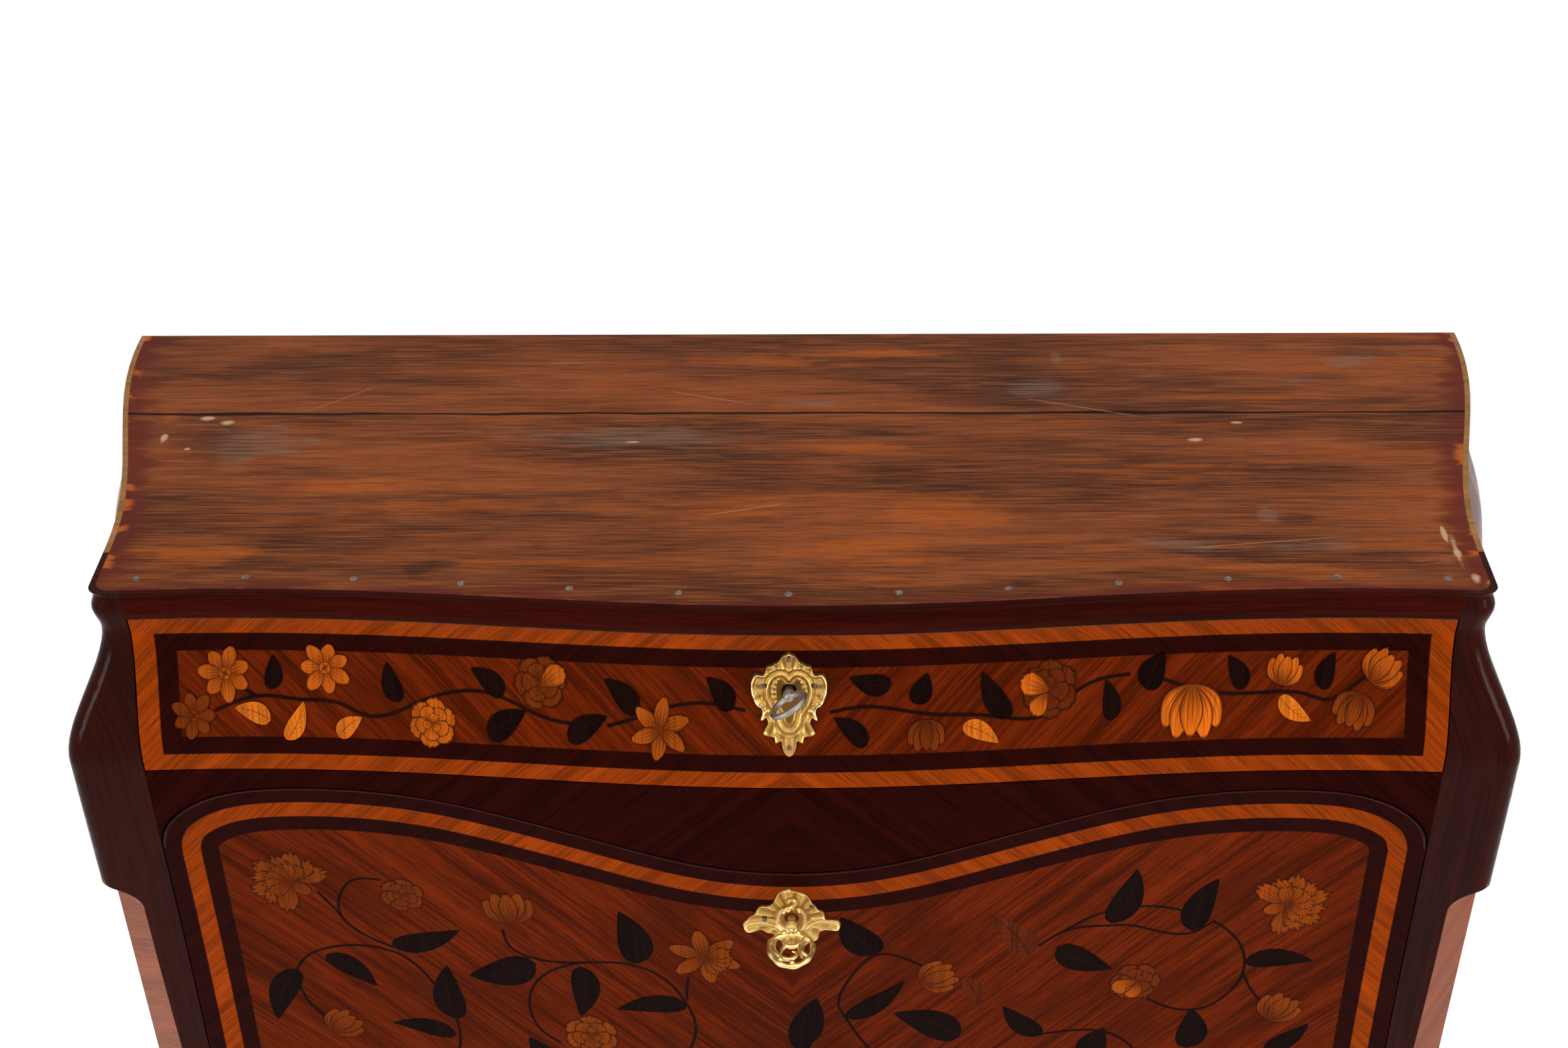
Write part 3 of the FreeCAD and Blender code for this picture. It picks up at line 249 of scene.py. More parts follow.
def tube(path, radius, sides=10, squeeze=1.0):
    """Round bar along a path: at each point a circle across the path; squeeze flattens it."""
    path = np.asarray(path, float)
    radius = np.broadcast_to(np.asarray(radius, float), (len(path),))
    ahead = np.gradient(path, axis=0)
    ahead /= np.linalg.norm(ahead, axis=1)[:, None]
    ref = np.where(np.abs(ahead[:, 2:3]) > 0.9, np.array([[1.0, 0.0, 0.0]]), np.array([[0.0, 0.0, 1.0]]))
    across = np.cross(ahead, ref)
    across /= np.linalg.norm(across, axis=1)[:, None]
    up = np.cross(across, ahead)
    angle = np.linspace(0.0, 2.0 * math.pi, sides, endpoint=False)
    ring = (np.cos(angle)[None, :, None] * across[:, None, :]
            - squeeze * np.sin(angle)[None, :, None] * up[:, None, :])
    points = path[:, None, :] + radius[:, None, None] * ring
    uv = np.stack(np.meshgrid(np.linspace(0, 1, len(path)), angle / (2 * math.pi), indexing="ij"), axis=-1)
    return patch(points, uv, True)


def loop_tube(path, radius, sides=10):
    """Round bar along a closed path whose last point repeats the first."""
    points, uv, wrap = tube(path, radius, sides)
    points[0] = points[-1] = 0.5 * (points[0] + points[-1])
    return points, uv, wrap


def lathe(start, direction, profile, sides=28):
    """Turned shape: (distance, radius) pairs carried round the line from start along direction."""
    start = np.asarray(start, float)
    direction = np.asarray(direction, float) / np.linalg.norm(direction)
    side = np.cross(direction, [1.0, 0.0, 0.0])
    side /= np.linalg.norm(side)
    other = np.cross(direction, side)
    profile = np.asarray(profile, float)
    angle = np.linspace(0.0, 2.0 * math.pi, sides, endpoint=False)
    ring = np.cos(angle)[None, :, None] * side + np.sin(angle)[None, :, None] * other
    points = start + profile[:, 0, None, None] * direction + profile[:, 1, None, None] * ring
    uv = np.stack(np.meshgrid(profile[:, 0], angle, indexing="ij"), axis=-1)
    return patch(points, uv, True)


def shade(colour, share):
    """Colour made darker or lighter by a share."""
    return tuple(min(1.0, float(c) * share) for c in colour)


class Shader:
    """Short calls that build the nodes of one material."""

    def __init__(self, name, roughness=0.3, metallic=0.0, specular=0.3):
        self.material = bpy.data.materials.new(name)
        self.material.use_nodes = True
        self.tree = self.material.node_tree
        self.surface = self.tree.nodes["Principled BSDF"]
        self.put("Roughness", roughness)
        self.put("Metallic", metallic)
        self.put("Specular IOR Level", specular)
        self.coordinates = self.node("TexCoord")
        self.place = self.coordinates.outputs["Object"]
        self.x, self.y, self.z = self.split(self.place)
        self.normal = self.coordinates.outputs["Normal"]

    def node(self, kind, *values, **settings):
        """New node with its options set and its inputs filled in order."""
        made = self.tree.nodes.new("ShaderNode" + kind)
        for key, value in settings.items():
            setattr(made, key, value)
        for socket, value in zip(made.inputs, values):
            self.feed(socket, value)
        return made

    def feed(self, socket, value):
        """Links an input to another socket, or gives it a plain value."""
        if isinstance(value, bpy.types.NodeSocket):
            self.tree.links.new(value, socket)
        elif socket.type == "RGBA":
            socket.default_value = (*value[:3], 1.0)
        else:
            socket.default_value = value

    def put(self, name, value):
        """Feeds one input of the surface."""
        self.feed(self.surface.inputs[name], value)

    def split(self, vector):
        return self.node("SeparateXYZ", vector).outputs[:3]

    def join(self, x, y, z=0.0):
        return self.node("CombineXYZ", x, y, z).outputs[0]

    def calc(self, operation, *values):
        """One sum of values or sockets."""
        return self.node("Math", *values, operation=operation).outputs[0]

    def times(self, first, second):
        return self.calc("MULTIPLY", first, second)

    def minus(self, first, second):
        return self.calc("SUBTRACT", first, second)

    def size(self, value):
        """A value without its sign."""
        return self.calc("ABSOLUTE", value)

    def least(self, first, *others):
        """The smallest of several values."""
        for other in others:
            first = self.calc("MINIMUM", first, other)
        return first

    def most(self, first, *others):
        """The largest of several values."""
        for other in others:
            first = self.calc("MAXIMUM", first, other)
        return first

    def inset(self, *sides):
        """Distance in from the nearest side; each pair of sides is (place, low, high)."""
        return self.least(*[gap for place, low, high in sides
                            for gap in (self.minus(place, low), self.minus(high, place))])

    def attribute(self, name):
        """A value that the mesh holds at each of its points."""
        return self.node("Attribute", attribute_name=name).outputs["Fac"]

    def spread(self, value, low, high, first, last):
        """Value carried from the range low to high into the range first to last."""
        return self.node("MapRange", value, low, high, first, last).outputs[0]

    def mix(self, share, first, second):
        """The first colour at share 0, the second at share 1."""
        made = self.node("Mix", data_type="RGBA")
        for index, value in ((0, share), (6, first), (7, second)):
            self.feed(made.inputs[index], value)
        return made.outputs[2]

    def over(self, base, share, weight, colour):
        """Base with a colour laid over it, by a share times a weight."""
        return self.mix(self.times(share, weight), base, colour)

    def step(self, value, low, high):
        """0 below low and 1 above high, smooth between."""
        made = self.node("MapRange", interpolation_type="SMOOTHSTEP")
        for index, given in enumerate((value, low, high)):
            self.feed(made.inputs[index], given)
        return made.outputs[0]

    def noise(self, vector, stretch, detail=2.0, warp=0.0):
        """Noise of a vector after its axes are multiplied by stretch."""
        scaled = self.node("VectorMath", vector, stretch, operation="MULTIPLY").outputs[0]
        made = self.node("TexNoise")
        for key, value in (("Vector", scaled), ("Scale", 1.0), ("Detail", detail), ("Distortion", warp)):
            self.feed(made.inputs[key], value)
        return made.outputs[0]

    def wood(self, along, across, colour, contrast, depth=0.0):
        """Straight-grained wood: noise drawn out along the grain picks tones of a colour; dark pores."""
        place = self.join(along, across, depth)
        wide = self.noise(place, (2.5, 62.0, 1.0), 3.0, 0.3)
        fine = self.noise(place, (9.0, 330.0, 1.0), 3.0)
        pores = self.noise(place, (30.0, 800.0, 1.0), 1.0)
        dark = shade(colour, 1.0 - 0.62 * contrast)
        light = shade(colour, 1.0 + 0.75 * contrast)
        tone = self.mix(self.step(wide, 0.40, 0.52), dark, colour)
        tone = self.over(tone, self.step(wide, 0.52, 0.72), 0.85, light)
        tone = self.over(tone, self.step(fine, 0.46, 0.62), 0.45, light)
        tone = self.over(tone, self.step(fine, 0.48, 0.36), 0.7 * contrast, dark)
        return self.over(tone, self.step(pores, 0.54, 0.64), 0.55, shade(dark, 0.6))

    def bump(self, height, distance, strength):
        """Fine unevenness of the surface by a height."""
        made = self.node("Bump")
        for key, value in (("Strength", strength), ("Distance", distance), ("Height", height)):
            self.feed(made.inputs[key], value)
        self.put("Normal", made.outputs[0])

    def polish(self, low, high):
        """Uneven gloss of old French polish, with a slight waviness."""
        patchy = self.noise(self.place, (9.0, 9.0, 9.0), 4.0)
        self.put("Roughness", self.spread(patchy, 0.3, 0.7, low, high))
        self.bump(self.noise(self.place, (60.0, 60.0, 60.0), 2.0), 0.0008, 0.12)

    def finished(self, colour, low=0.14, high=0.34):
        """The polished material of a colour."""
        self.put("Base Color", colour)
        self.polish(low, high)
        return self.material


def diagonal(s, place):
    """Grain lines of bookmatched veneer: along and across at 45 degrees, mirrored where place is 0."""
    half = s.size(place)
    return s.calc("ADD", half, s.z), s.minus(s.z, half)


def veneers(s, along, across):
    """Field, light and dark veneers; the grain of the bands lies across that of the field."""
    field = s.wood(along, across, finish().field, 0.8)
    light = s.wood(across, along, finish().tulipwood, 0.55)
    dark = s.wood(across, along, finish().rosewood, 0.5)
    return field, light, dark


def banded(s, edge, bands, field):
    """Lays bands over a field: each band is (reach from the edge, colour), the outermost last."""
    colour = field
    for reach, tone in bands:
        colour = s.mix(s.step(edge, reach - JOINT_BLUR, reach + JOINT_BLUR), tone, colour)
        line = s.step(s.size(s.minus(edge, reach)), 0.5 * JOINT_BLUR, JOINT_LINE)
        colour = s.mix(s.calc("MULTIPLY_ADD", line, -JOINT_DARK, JOINT_DARK), colour, GLUE)
    return colour


def front_veneers(s):
    """Veneers in the front's diagonal grain, the field with darker patches."""
    along, across = diagonal(s, s.x)
    field, light, dark = veneers(s, along, across)
    patchy = s.noise(s.join(along, across), (6.0, 16.0, 1.0), 4.0)
    field = s.over(field, s.step(patchy, 0.48, 0.66), 0.55, shade(finish().field, 0.42))
    return field, light, dark


def facing_front(s, colour, other):
    """Colour on faces turned to the front, and another behind."""
    toward = s.split(s.normal)[1]
    return s.mix(s.step(toward, -0.5, -0.3), colour, other)


def drawer_veneer():
    """Drawer front: diagonal field within a dark and a light band, plain oak behind."""
    s = Shader("drawer_veneer", specular=0.02)
    low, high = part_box("drawer_front")
    field, light, dark = front_veneers(s)
    rise = s.inset((s.z, low[2], high[2]))
    ends = s.minus(high[0], s.size(s.x))
    edge = s.least(rise, s.times(ends, 0.9))
    reach = finish().light_band
    colour = banded(s, edge, ((reach + finish().dark_band, dark), (reach, light)), field)
    return s.finished(facing_front(s, colour, s.wood(s.x, s.z, OAK, 0.4)))


def fall_edge_bands(s, edge, field, light, dark):
    """Dark, light and dark bands from the edge inward, round the field."""
    outer = finish().dark_band
    inner = outer + finish().light_band
    return banded(s, edge, ((inner + outer, dark), (inner, light), (outer, dark)), field)


def fall_skin_veneer():
    """Outer face of the fall; its bands follow the distance to the shaped edge."""
    s = Shader("fall_skin_veneer", specular=0.02)
    field, light, dark = front_veneers(s)
    edge = s.attribute("edge")
    return s.finished(fall_edge_bands(s, edge, field, light, dark))


def fall_panel_veneer():
    """Solid of the fall: light wood inside, dark on its edges."""
    s = Shader("fall_panel_veneer", specular=0.1)
    plain = s.wood(s.x, s.z, finish().tulipwood, 0.5)
    inside = s.step(s.split(s.normal)[1], 0.3, 0.5)
    return s.finished(s.mix(inside, s.wood(s.x, s.z, finish().rosewood, 0.5), plain), 0.2, 0.4)


def door_veneer():
    """Doors: diagonal field within dark, light and dark bands, light wood behind."""
    s = Shader("door_veneer", specular=0.02)
    low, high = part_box("door_panel_right")
    field, light, dark = front_veneers(s)
    half = s.size(s.x)
    edge = s.inset((half, low[0], high[0]), (s.z, low[2], high[2]))
    colour = fall_edge_bands(s, edge, field, light, dark)
    return s.finished(facing_front(s, colour, s.wood(s.z, s.x, finish().tulipwood, 0.5)))


def dark_rail():
    """Dark rails with the grain along them."""
    s = Shader("dark_rail", specular=0.02)
    return s.finished(s.wood(s.x, s.z, shade(finish().rosewood, 2.0), 0.55, s.y), 0.12, 0.28)


def frieze_veneer():
    """Dark frieze with bookmatched diagonal grain."""
    s = Shader("frieze_veneer", specular=0.01)
    along, across = diagonal(s, s.x)
    return s.finished(s.wood(across, along, shade(finish().rosewood, 1.1), 0.6))


def stile_veneer():
    """Dark upright veneer; below the console the canted corner is a light strip."""
    s = Shader("stile_veneer")
    dark = s.wood(s.z, s.calc("ADD", s.x, s.y), srgb(46, 9, 3), 0.55)
    light = s.wood(s.calc("ADD", s.z, s.x), s.minus(s.z, s.x), srgb(150, 80, 50), 0.3)
    nx, ny, _ = s.split(s.normal)
    turned = s.times(s.size(nx), s.times(ny, -1.0))
    canted = s.times(s.step(turned, 0.40, 0.44), s.step(s.z, CANT_TOP_Z + 0.002, CANT_TOP_Z))
    s.put("Base Color", s.mix(canted, dark, light))
    flank = s.step(s.size(nx), 0.80, 0.95)
    s.put("Specular IOR Level", s.calc("MULTIPLY_ADD", s.most(canted, flank), -0.04, 0.05))
    s.polish(0.12, 0.26)
    return s.material


def side_veneer():
    """Bookmatched side: diagonal field with bands, plain oak within."""
    s = Shader("side_veneer", specular=0.025)
    low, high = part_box("side_right")
    middle = 0.5 * (low[1] + high[1])
    field, light, dark = veneers(s, *diagonal(s, s.minus(s.y, middle)))
    edge = s.inset((s.y, low[1], high[1]), (s.z, low[2], high[2]))
    inner, light_reach, outer = SIDE_REACHES
    colour = banded(s, edge, ((inner, dark), (light_reach, light), (outer, dark)), field)
    outward = s.times(s.split(s.normal)[0], s.calc("SIGN", s.x))
    return s.finished(s.mix(s.step(outward, 0.2, 0.4), s.wood(s.z, s.y, OAK, 0.4), colour), 0.12, 0.28)


def plain_wood(name, colour, contrast, gloss, grain="x", specular=0.2):
    """Plain woods: straight grain along one axis and little polish."""
    s = Shader(name, roughness=gloss, specular=specular)
    along = {"x": s.x, "y": s.y, "z": s.z}[grain]
    others = {"x": (s.y, s.z), "y": (s.x, s.z), "z": (s.x, s.y)}[grain]
    across = s.calc("ADD", *others)
    s.put("Base Color", s.wood(along, across, colour, contrast))
    s.bump(s.noise(s.join(along, across), (40.0, 900.0, 1.0)), 0.0003, 0.25)
    return s.material


def metal(name, colour, tarnish, roughness, patch_size=120.0, metallic=1.0):
    """Old metal: two tones in patches, fine pitting and uneven gloss."""
    s = Shader(name, metallic=metallic, specular=0.5)
    patches = s.noise(s.place, (patch_size,) * 3, 5.0)
    pits = s.noise(s.place, (900.0,) * 3, 3.0)
    tone = s.mix(s.step(patches, 0.42, 0.62), colour, tarnish)
    s.put("Base Color", s.over(tone, s.step(pits, 0.55, 0.72), 0.5, shade(tarnish, 0.5)))
    s.put("Roughness", s.spread(patches, 0.3, 0.7, roughness, roughness + 0.2))
    s.bump(pits, 0.0002, 0.3)
    return s.material


def gilt_relief_painted_light():
    """Cast gilt bronze coloured by the cast height of each point: painted shade, brown, in the hollows and a
    painted highlight, near white, on the ridges.
    """
    s = Shader("gilt_relief_painted_light", metallic=1.0, specular=0.5)
    rise = s.attribute("rise")
    pits = s.noise(s.place, (900.0,) * 3, 3.0)
    # Painted shade: dark brown where the cast is low, in the hollows.
    tone = s.mix(s.step(rise, 0.12, 0.62), srgb(104, 70, 28), srgb(200, 156, 84))
    # Painted highlight: near-white gold on the highest ridges, brighter than the gilt's own colour.
    tone = s.mix(s.step(rise, 0.55, 0.95), tone, srgb(255, 228, 158))
    s.put("Base Color", s.over(tone, s.step(pits, 0.55, 0.75), 0.4, srgb(110, 70, 26)))
    s.put("Roughness", s.spread(rise, 0.1, 0.8, 0.42, 0.2))
    s.bump(pits, 0.0002, 0.3)
    return s.material


def leather():
    """Tooled green writing leather with a gilt double line near its edge."""
    s = Shader("leather", roughness=0.5, specular=0.3)
    low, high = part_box("fall_leather")
    edge = s.inset((s.x, low[0], high[0]), (s.z, low[2], high[2]))
    worn = s.noise(s.place, (14.0, 14.0, 14.0), 5.0)
    tone = s.mix(s.step(worn, 0.3, 0.75), srgb(48, 57, 35), srgb(68, 68, 42))
    gilt = s.calc("ADD", s.calc("COMPARE", edge, 0.012, 0.0012), s.calc("COMPARE", edge, 0.017, 0.0004))
    rubbed = s.times(gilt, s.step(s.noise(s.place, (90.0,) * 3, 3.0), 0.35, 0.5))
    s.put("Base Color", s.mix(rubbed, tone, finish().gilt))
    pebbles = s.node("TexVoronoi", feature="DISTANCE_TO_EDGE")
    s.feed(pebbles.inputs["Vector"], s.place)
    s.feed(pebbles.inputs["Scale"], 900.0)
    s.bump(pebbles.outputs["Distance"], 0.0003, 0.4)
    return s.material


def spot(s, x, y, wide, deep, ragged=0.7):
    """Ragged patch on the top, in millimetres: 1 at its middle and 0 outside."""
    away = s.node("VectorMath", s.place, (x * MM, y * MM, TOP_Z), operation="SUBTRACT").outputs[0]
    scale = (1.0 / (wide * MM), 1.0 / (deep * MM), 0.0)
    away = s.node("VectorMath", away, scale, operation="MULTIPLY").outputs[0]
    far = s.node("VectorMath", away, operation="LENGTH").outputs["Value"]
    torn = s.noise(s.place, (30.0, 75.0, 1.0), 5.0)
    return s.step(s.calc("MULTIPLY_ADD", torn, 2.0 * ragged, s.minus(far, ragged)), 1.0, 0.35)


def spots(s, places, ragged=0.7):
    """Several ragged patches together: the strongest counts."""
    return s.most(*[spot(s, *place, ragged) for place in places])


# Marks on the top, in millimetres: x, y, half width and half depth; for scratches half length and slope
WORN_PATCHES = (
    (-395, -70, 52, 24), (-300, 8, 60, 10), (-240, -20, 80, 16), (40, 52, 60, 8), (105, -28, 55, 22),
    (60, -70, 70, 20), (262, 22, 70, 12), (395, -62, 50, 9), (330, -92, 80, 9), (-60, -22, 90, 14),
    (-20, 168, 60, 12), (300, -110, 80, 7), (60, 178, 80, 8), (-452, 96, 10, 14), (60, -104, 60, 8))
GREY_STAINS = (
    (176, 128, 26, 17), (414, 166, 30, 12), (322, -26, 8, 14), (262, -62, 40, 8), (196, 172, 5, 10),
    (-120, 66, 110, 16), (-384, 58, 48, 26), (370, 140, 22, 5), (20, 112, 40, 5), (352, -64, 40, 8))
DARK_PATCHES = (
    (338, 24, 26, 5), (352, 24, 8, 9), (340, -34, 14, 8), (152, -104, 12, 7), (-232, -84, 18, 6),
    (-246, -92, 10, 10), (400, -74, 60, 4), (-415, 62, 40, 36), (300, -70, 90, 10), (424, 178, 50, 8),
    (-380, 160, 40, 8), (20, 70, 120, 9), (176, 134, 40, 22), (-100, 48, 160, 16))
PALE_CHIPS = (
    (-424, 92, 7, 4), (-408, 86, 7, 4), (440, -72, 3, 16), (446, -100, 4, 6), (286, 62, 6, 2.5),
    (-450, 66, 3, 7), (-112, 60, 8, 2), (436, -50, 2, 12), (-430, 52, 4, 3), (318, 84, 6, 2))
SCRATCHES = (
    (-60, 118, 34, -0.28), (-170, 166, 14, 0.0), (210, 104, 46, -0.30), (-30, -22, 30, 0.25),
    (320, -60, 60, 0.12), (-330, 118, 24, 0.75))


def scratch(s, x, y, half, slope):
    """Fine straight scratch on the top, in millimetres: its middle, half length and slope."""
    run = s.minus(s.x, x * MM)
    off = s.minus(s.minus(s.y, y * MM), s.times(run, slope))
    near_line = s.step(s.size(off), 0.0007, 0.0002)
    return s.times(near_line, s.step(s.size(run), half * MM, 0.6 * half * MM))


def top_wood():
    """Bare worn boards: grain, worn orange patches, grey stains, a joint, a crack and a red edge."""
    s = Shader("top_wood", specular=0.04)
    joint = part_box("top_board_front")[1][1]
    rear = s.step(s.y, joint - 0.0002, joint + 0.0004)
    place = s.join(s.x, s.calc("MULTIPLY_ADD", rear, 3.7, s.y))
    cloud = s.noise(place, (3.2, 13.0, 1.0), 5.0, 0.4)
    streak = s.noise(place, (3.4, 70.0, 1.0), 5.0, 0.3)
    fine = s.noise(place, (22.0, 620.0, 1.0), 4.0)
    pores = s.noise(place, (70.0, 1500.0, 1.0), 2.0)
    speck = s.noise(s.place, (900.0, 900.0, 900.0), 2.0)
    figure = s.noise(place, (9.0, 130.0, 1.0), 6.0, 0.8)
    colour = finish().top_wood
    tone = s.mix(s.step(cloud, 0.38, 0.62), shade(colour, 0.42), shade(colour, 1.25))
    tone = s.over(tone, s.step(streak, 0.52, 0.70), 0.5, srgb(158, 76, 22))
    tone = s.over(tone, s.step(streak, 0.47, 0.30), 0.6, srgb(58, 28, 16))
    worn = s.times(spots(s, WORN_PATCHES, 0.9), s.step(streak, 0.26, 0.56))
    tone = s.over(tone, worn, 0.72, srgb(168, 82, 24))
    grime = s.noise(s.place, (4.0, 10.0, 1.0), 5.0)
    tone = s.over(tone, s.step(grime, 0.52, 0.72), 0.4, srgb(62, 36, 27))
    tone = s.over(tone, spots(s, DARK_PATCHES, 0.9), 0.62, srgb(44, 27, 22))
    tone = s.over(tone, s.step(fine, 0.42, 0.68), 0.42, srgb(166, 94, 52))
    tone = s.over(tone, s.step(fine, 0.44, 0.28), 0.5, srgb(58, 28, 17))
    tone = s.over(tone, s.step(figure, 0.50, 0.70), 0.28, srgb(166, 92, 50))
    tone = s.over(tone, s.step(figure, 0.48, 0.30), 0.32, srgb(64, 32, 20))
    grey = s.times(spots(s, GREY_STAINS, 0.9), s.step(fine, 0.26, 0.66))
    tone = s.over(tone, grey, 0.55, srgb(122, 100, 86))
    tone = s.over(tone, s.step(pores, 0.54, 0.72), 0.45, srgb(44, 22, 14))
    tone = s.over(tone, s.step(speck, 0.62, 0.74), 0.22, srgb(190, 130, 90))

    wave = s.calc("COSINE", s.times(s.x, math.pi / BOW_WAVE))
    lip = s.calc("MULTIPLY_ADD", wave, -0.5 * BOW, LIP_Y - LIP_PROUD + 0.5 * BOW)
    flare = s.node("MapRange", s.y, LIP_Y + FLARE_START, LIP_Y + FLARE_START + FLARE_LENGTH, FRONT_HALF,
                   FRONT_HALF + BACK_FLARE, interpolation_type="SMOOTHSTEP").outputs[0]
    ends = s.times(s.minus(flare, s.size(s.x)), 0.55)
    edge = s.least(s.minus(s.y, lip), ends)
    torn = s.noise(s.place, (16.0, 70.0, 20.0), 5.0)
    reach = s.calc("MULTIPLY_ADD", torn, -0.040, s.calc("ADD", edge, 0.020))
    tone = s.over(tone, s.step(reach, 0.014, 0.003), 0.8, srgb(92, 33, 26))
    flaked = s.step(s.noise(s.place, (34.0, 60.0, 34.0), 5.0), 0.56, 0.62)
    chipped = s.times(s.step(edge, 0.006, 0.002), flaked)
    tone = s.over(tone, chipped, 0.75, srgb(190, 96, 40))
    tone = s.over(tone, spots(s, PALE_CHIPS, 1.0), 0.75, srgb(206, 166, 128))

    wander = s.noise(s.place, (38.0, 1.0, 1.0), 4.0)
    offset = s.size(s.minus(s.calc("MULTIPLY_ADD", wander, -0.008, s.y), CRACK_Y))
    opens = s.step(s.x, CRACK_START, CRACK_START + CRACK_FADE)
    closes = s.step(s.x, CRACK_END, CRACK_END - CRACK_FADE)
    crack = s.times(s.step(offset, 0.0009, 0.0002), s.times(opens, closes))
    wavy = s.noise(s.place, (11.0, 0.0, 0.0), 4.0)
    seam = s.size(s.minus(s.calc("MULTIPLY_ADD", wavy, 0.007, s.y), joint + 0.0035))
    width = s.spread(s.noise(s.place, (6.0, 0.0, 0.0), 2.0), 0.35, 0.65, 0.0005, 0.0022)
    gap = s.step(s.minus(seam, width), 0.0005, -0.0004)
    crack = s.most(crack, gap)
    tone = s.over(tone, crack, 0.92, srgb(16, 9, 7))
    scored = s.most(*[scratch(s, *mark) for mark in SCRATCHES])
    tone = s.over(tone, scored, 0.5, srgb(196, 130, 88))
    flat = s.step(s.split(s.normal)[2], 0.6, 0.8)
    s.put("Base Color", s.mix(flat, s.wood(s.x, s.z, finish().rosewood, 0.5), tone))
    s.put("Roughness", s.spread(cloud, 0.3, 0.7, 0.42, 0.62))
    s.bump(s.minus(fine, s.times(crack, 3.0)), 0.0004, 0.35)
    return s.material


def leaf_wood(name, colour, vein, vein_share):
    """Stained leaf: fine grain, with an engraved midrib and side veins."""
    s = Shader(name, specular=0.02)
    u, v, _ = s.split(s.coordinates.outputs["UV"])
    grain = s.wood(s.z, s.x, colour, 0.5)
    side = s.size(v)
    rib = s.step(side, 0.09, 0.03)
    slant = s.calc("SINE", s.times(s.minus(u, s.times(side, 0.22)), 44.0))
    veins = s.times(s.step(slant, 0.9, 0.99), s.step(side, 0.85, 0.5))
    return s.finished(s.over(grain, s.most(rib, veins), vein_share, vein))


def petal_wood():
    """Pale petal, shaded brown toward its root by hot sand, with engraved lines that fan out."""
    s = Shader("petal_wood", specular=0.02)
    u, v, _ = s.split(s.coordinates.outputs["UV"])
    tone = s.attribute("tone")
    grain = s.mix(tone, s.wood(s.z, s.x, srgb(88, 30, 7), 0.3), s.wood(s.z, s.x, finish().flower, 0.28))
    scorch = s.over(grain, s.step(u, 0.62, 0.05), 0.75, srgb(84, 30, 8))
    fan = s.calc("SINE", s.times(v, 15.0))
    lines = s.times(s.step(fan, 0.72, 0.95), s.step(u, 0.92, 0.45))
    rim = s.most(s.step(s.size(v), 0.78, 0.92), s.step(u, 0.90, 0.96))
    drawn = s.most(s.times(lines, 0.7), s.times(rim, 0.85))
    return s.finished(s.mix(drawn, scorch, srgb(40, 14, 6)))


# How far plates and inlaid pieces stand off the front, in metres, so that they overlap in order
PLATE_LIFT = 0.00015
STEM_LIFT = 0.00085
LEAF_LIFT = 0.0009
FLOWER_LIFT = 0.00095
INNER_LIFT = 0.00104
HEART_LIFT = 0.0011
CALYX_LIFT = 0.00112
LOBE_LIFT = 0.00116
PLY = 0.000008


def on_front(x, z, lift):
    """Points of the front, in metres, lifted off it."""
    return np.stack([x, front_y(x, z) - lift, z], axis=-1)


def laid(x, z, ahead, aside, angle, lift, uv):
    """Grid of places ahead and aside of x, z, in millimetres, turned by an angle and laid on the front."""
    turn = math.radians(angle)
    px = (x + ahead * math.cos(turn) - aside * math.sin(turn)) * MM
    pz = (z + ahead * math.sin(turn) + aside * math.cos(turn)) * MM
    return patch(on_front(px, pz, lift)[::-1], uv[::-1])


def blade(x, z, length, width, angle, lift, bend=0.0, blunt=1.0):
    """Leaf or petal from its root: half width goes as sin(pi s^blunt), and the middle line bends aside."""
    s, t = np.meshgrid(np.linspace(0.0, 1.0, 18), np.linspace(-1.0, 1.0, 9), indexing="ij")
    half = 0.5 * width * np.sin(math.pi * s ** blunt) ** 0.8
    aside = t * half + bend * length * 4.0 * s * (1.0 - s)
    return laid(x, z, length * s, aside, angle, lift, np.stack([s, t], axis=-1))


def petal(x, z, length, width, angle, lift, frill=0.0):
    """Broad petal: a fan that widens from its root to a rounded, perhaps frilled end."""
    s, t = np.meshgrid(np.linspace(0.0, 1.0, 12), np.linspace(-1.0, 1.0, 11), indexing="ij")
    end = np.sqrt(1.0 - 0.55 * t * t) + frill * np.cos(4.0 * math.pi * t)
    aside = 0.5 * width * t * (0.12 + 0.88 * np.sin(0.5 * math.pi * s) ** 0.9)
    return laid(x, z, length * s * end, aside, angle, lift, np.stack([s, t], axis=-1))


def ring_of(make, count, first, sweep=360.0):
    """Patches made at evenly spread angles; make takes the index and the angle."""
    step = sweep / count if sweep >= 360.0 else sweep / (count - 1)
    return [make(k, first + step * k) for k in range(count)]


def open_flower(x, z, size, turn):
    """Open flower: seven long petals, every other one behind, with a small round heart."""
    long = ring_of(lambda k, a: blade(x, z, (0.5 + 0.05 * (k % 2)) * size, 0.30 * size, a,
                                      FLOWER_LIFT + 0.00003 * (k % 2), 0.0, 1.25), 7, turn)
    heart = ring_of(lambda k, a: petal(x, z, 0.11 * size, 0.2 * size, a, HEART_LIFT), 4, turn)
    return long + heart


def rose(x, z, size, turn):
    """Rose: three rings of broad petals, the inner ones smaller and above."""
    parts = []
    for ring, (share, count) in enumerate(((0.5, 6), (0.36, 5), (0.2, 3))):
        length = share * size
        lift = FLOWER_LIFT + 0.00005 * ring
        parts += ring_of(lambda k, a: petal(x, z, length, 0.95 * length, a, lift + PLY * k, 0.035), count,
                         turn + 27.0 * ring)
    return parts


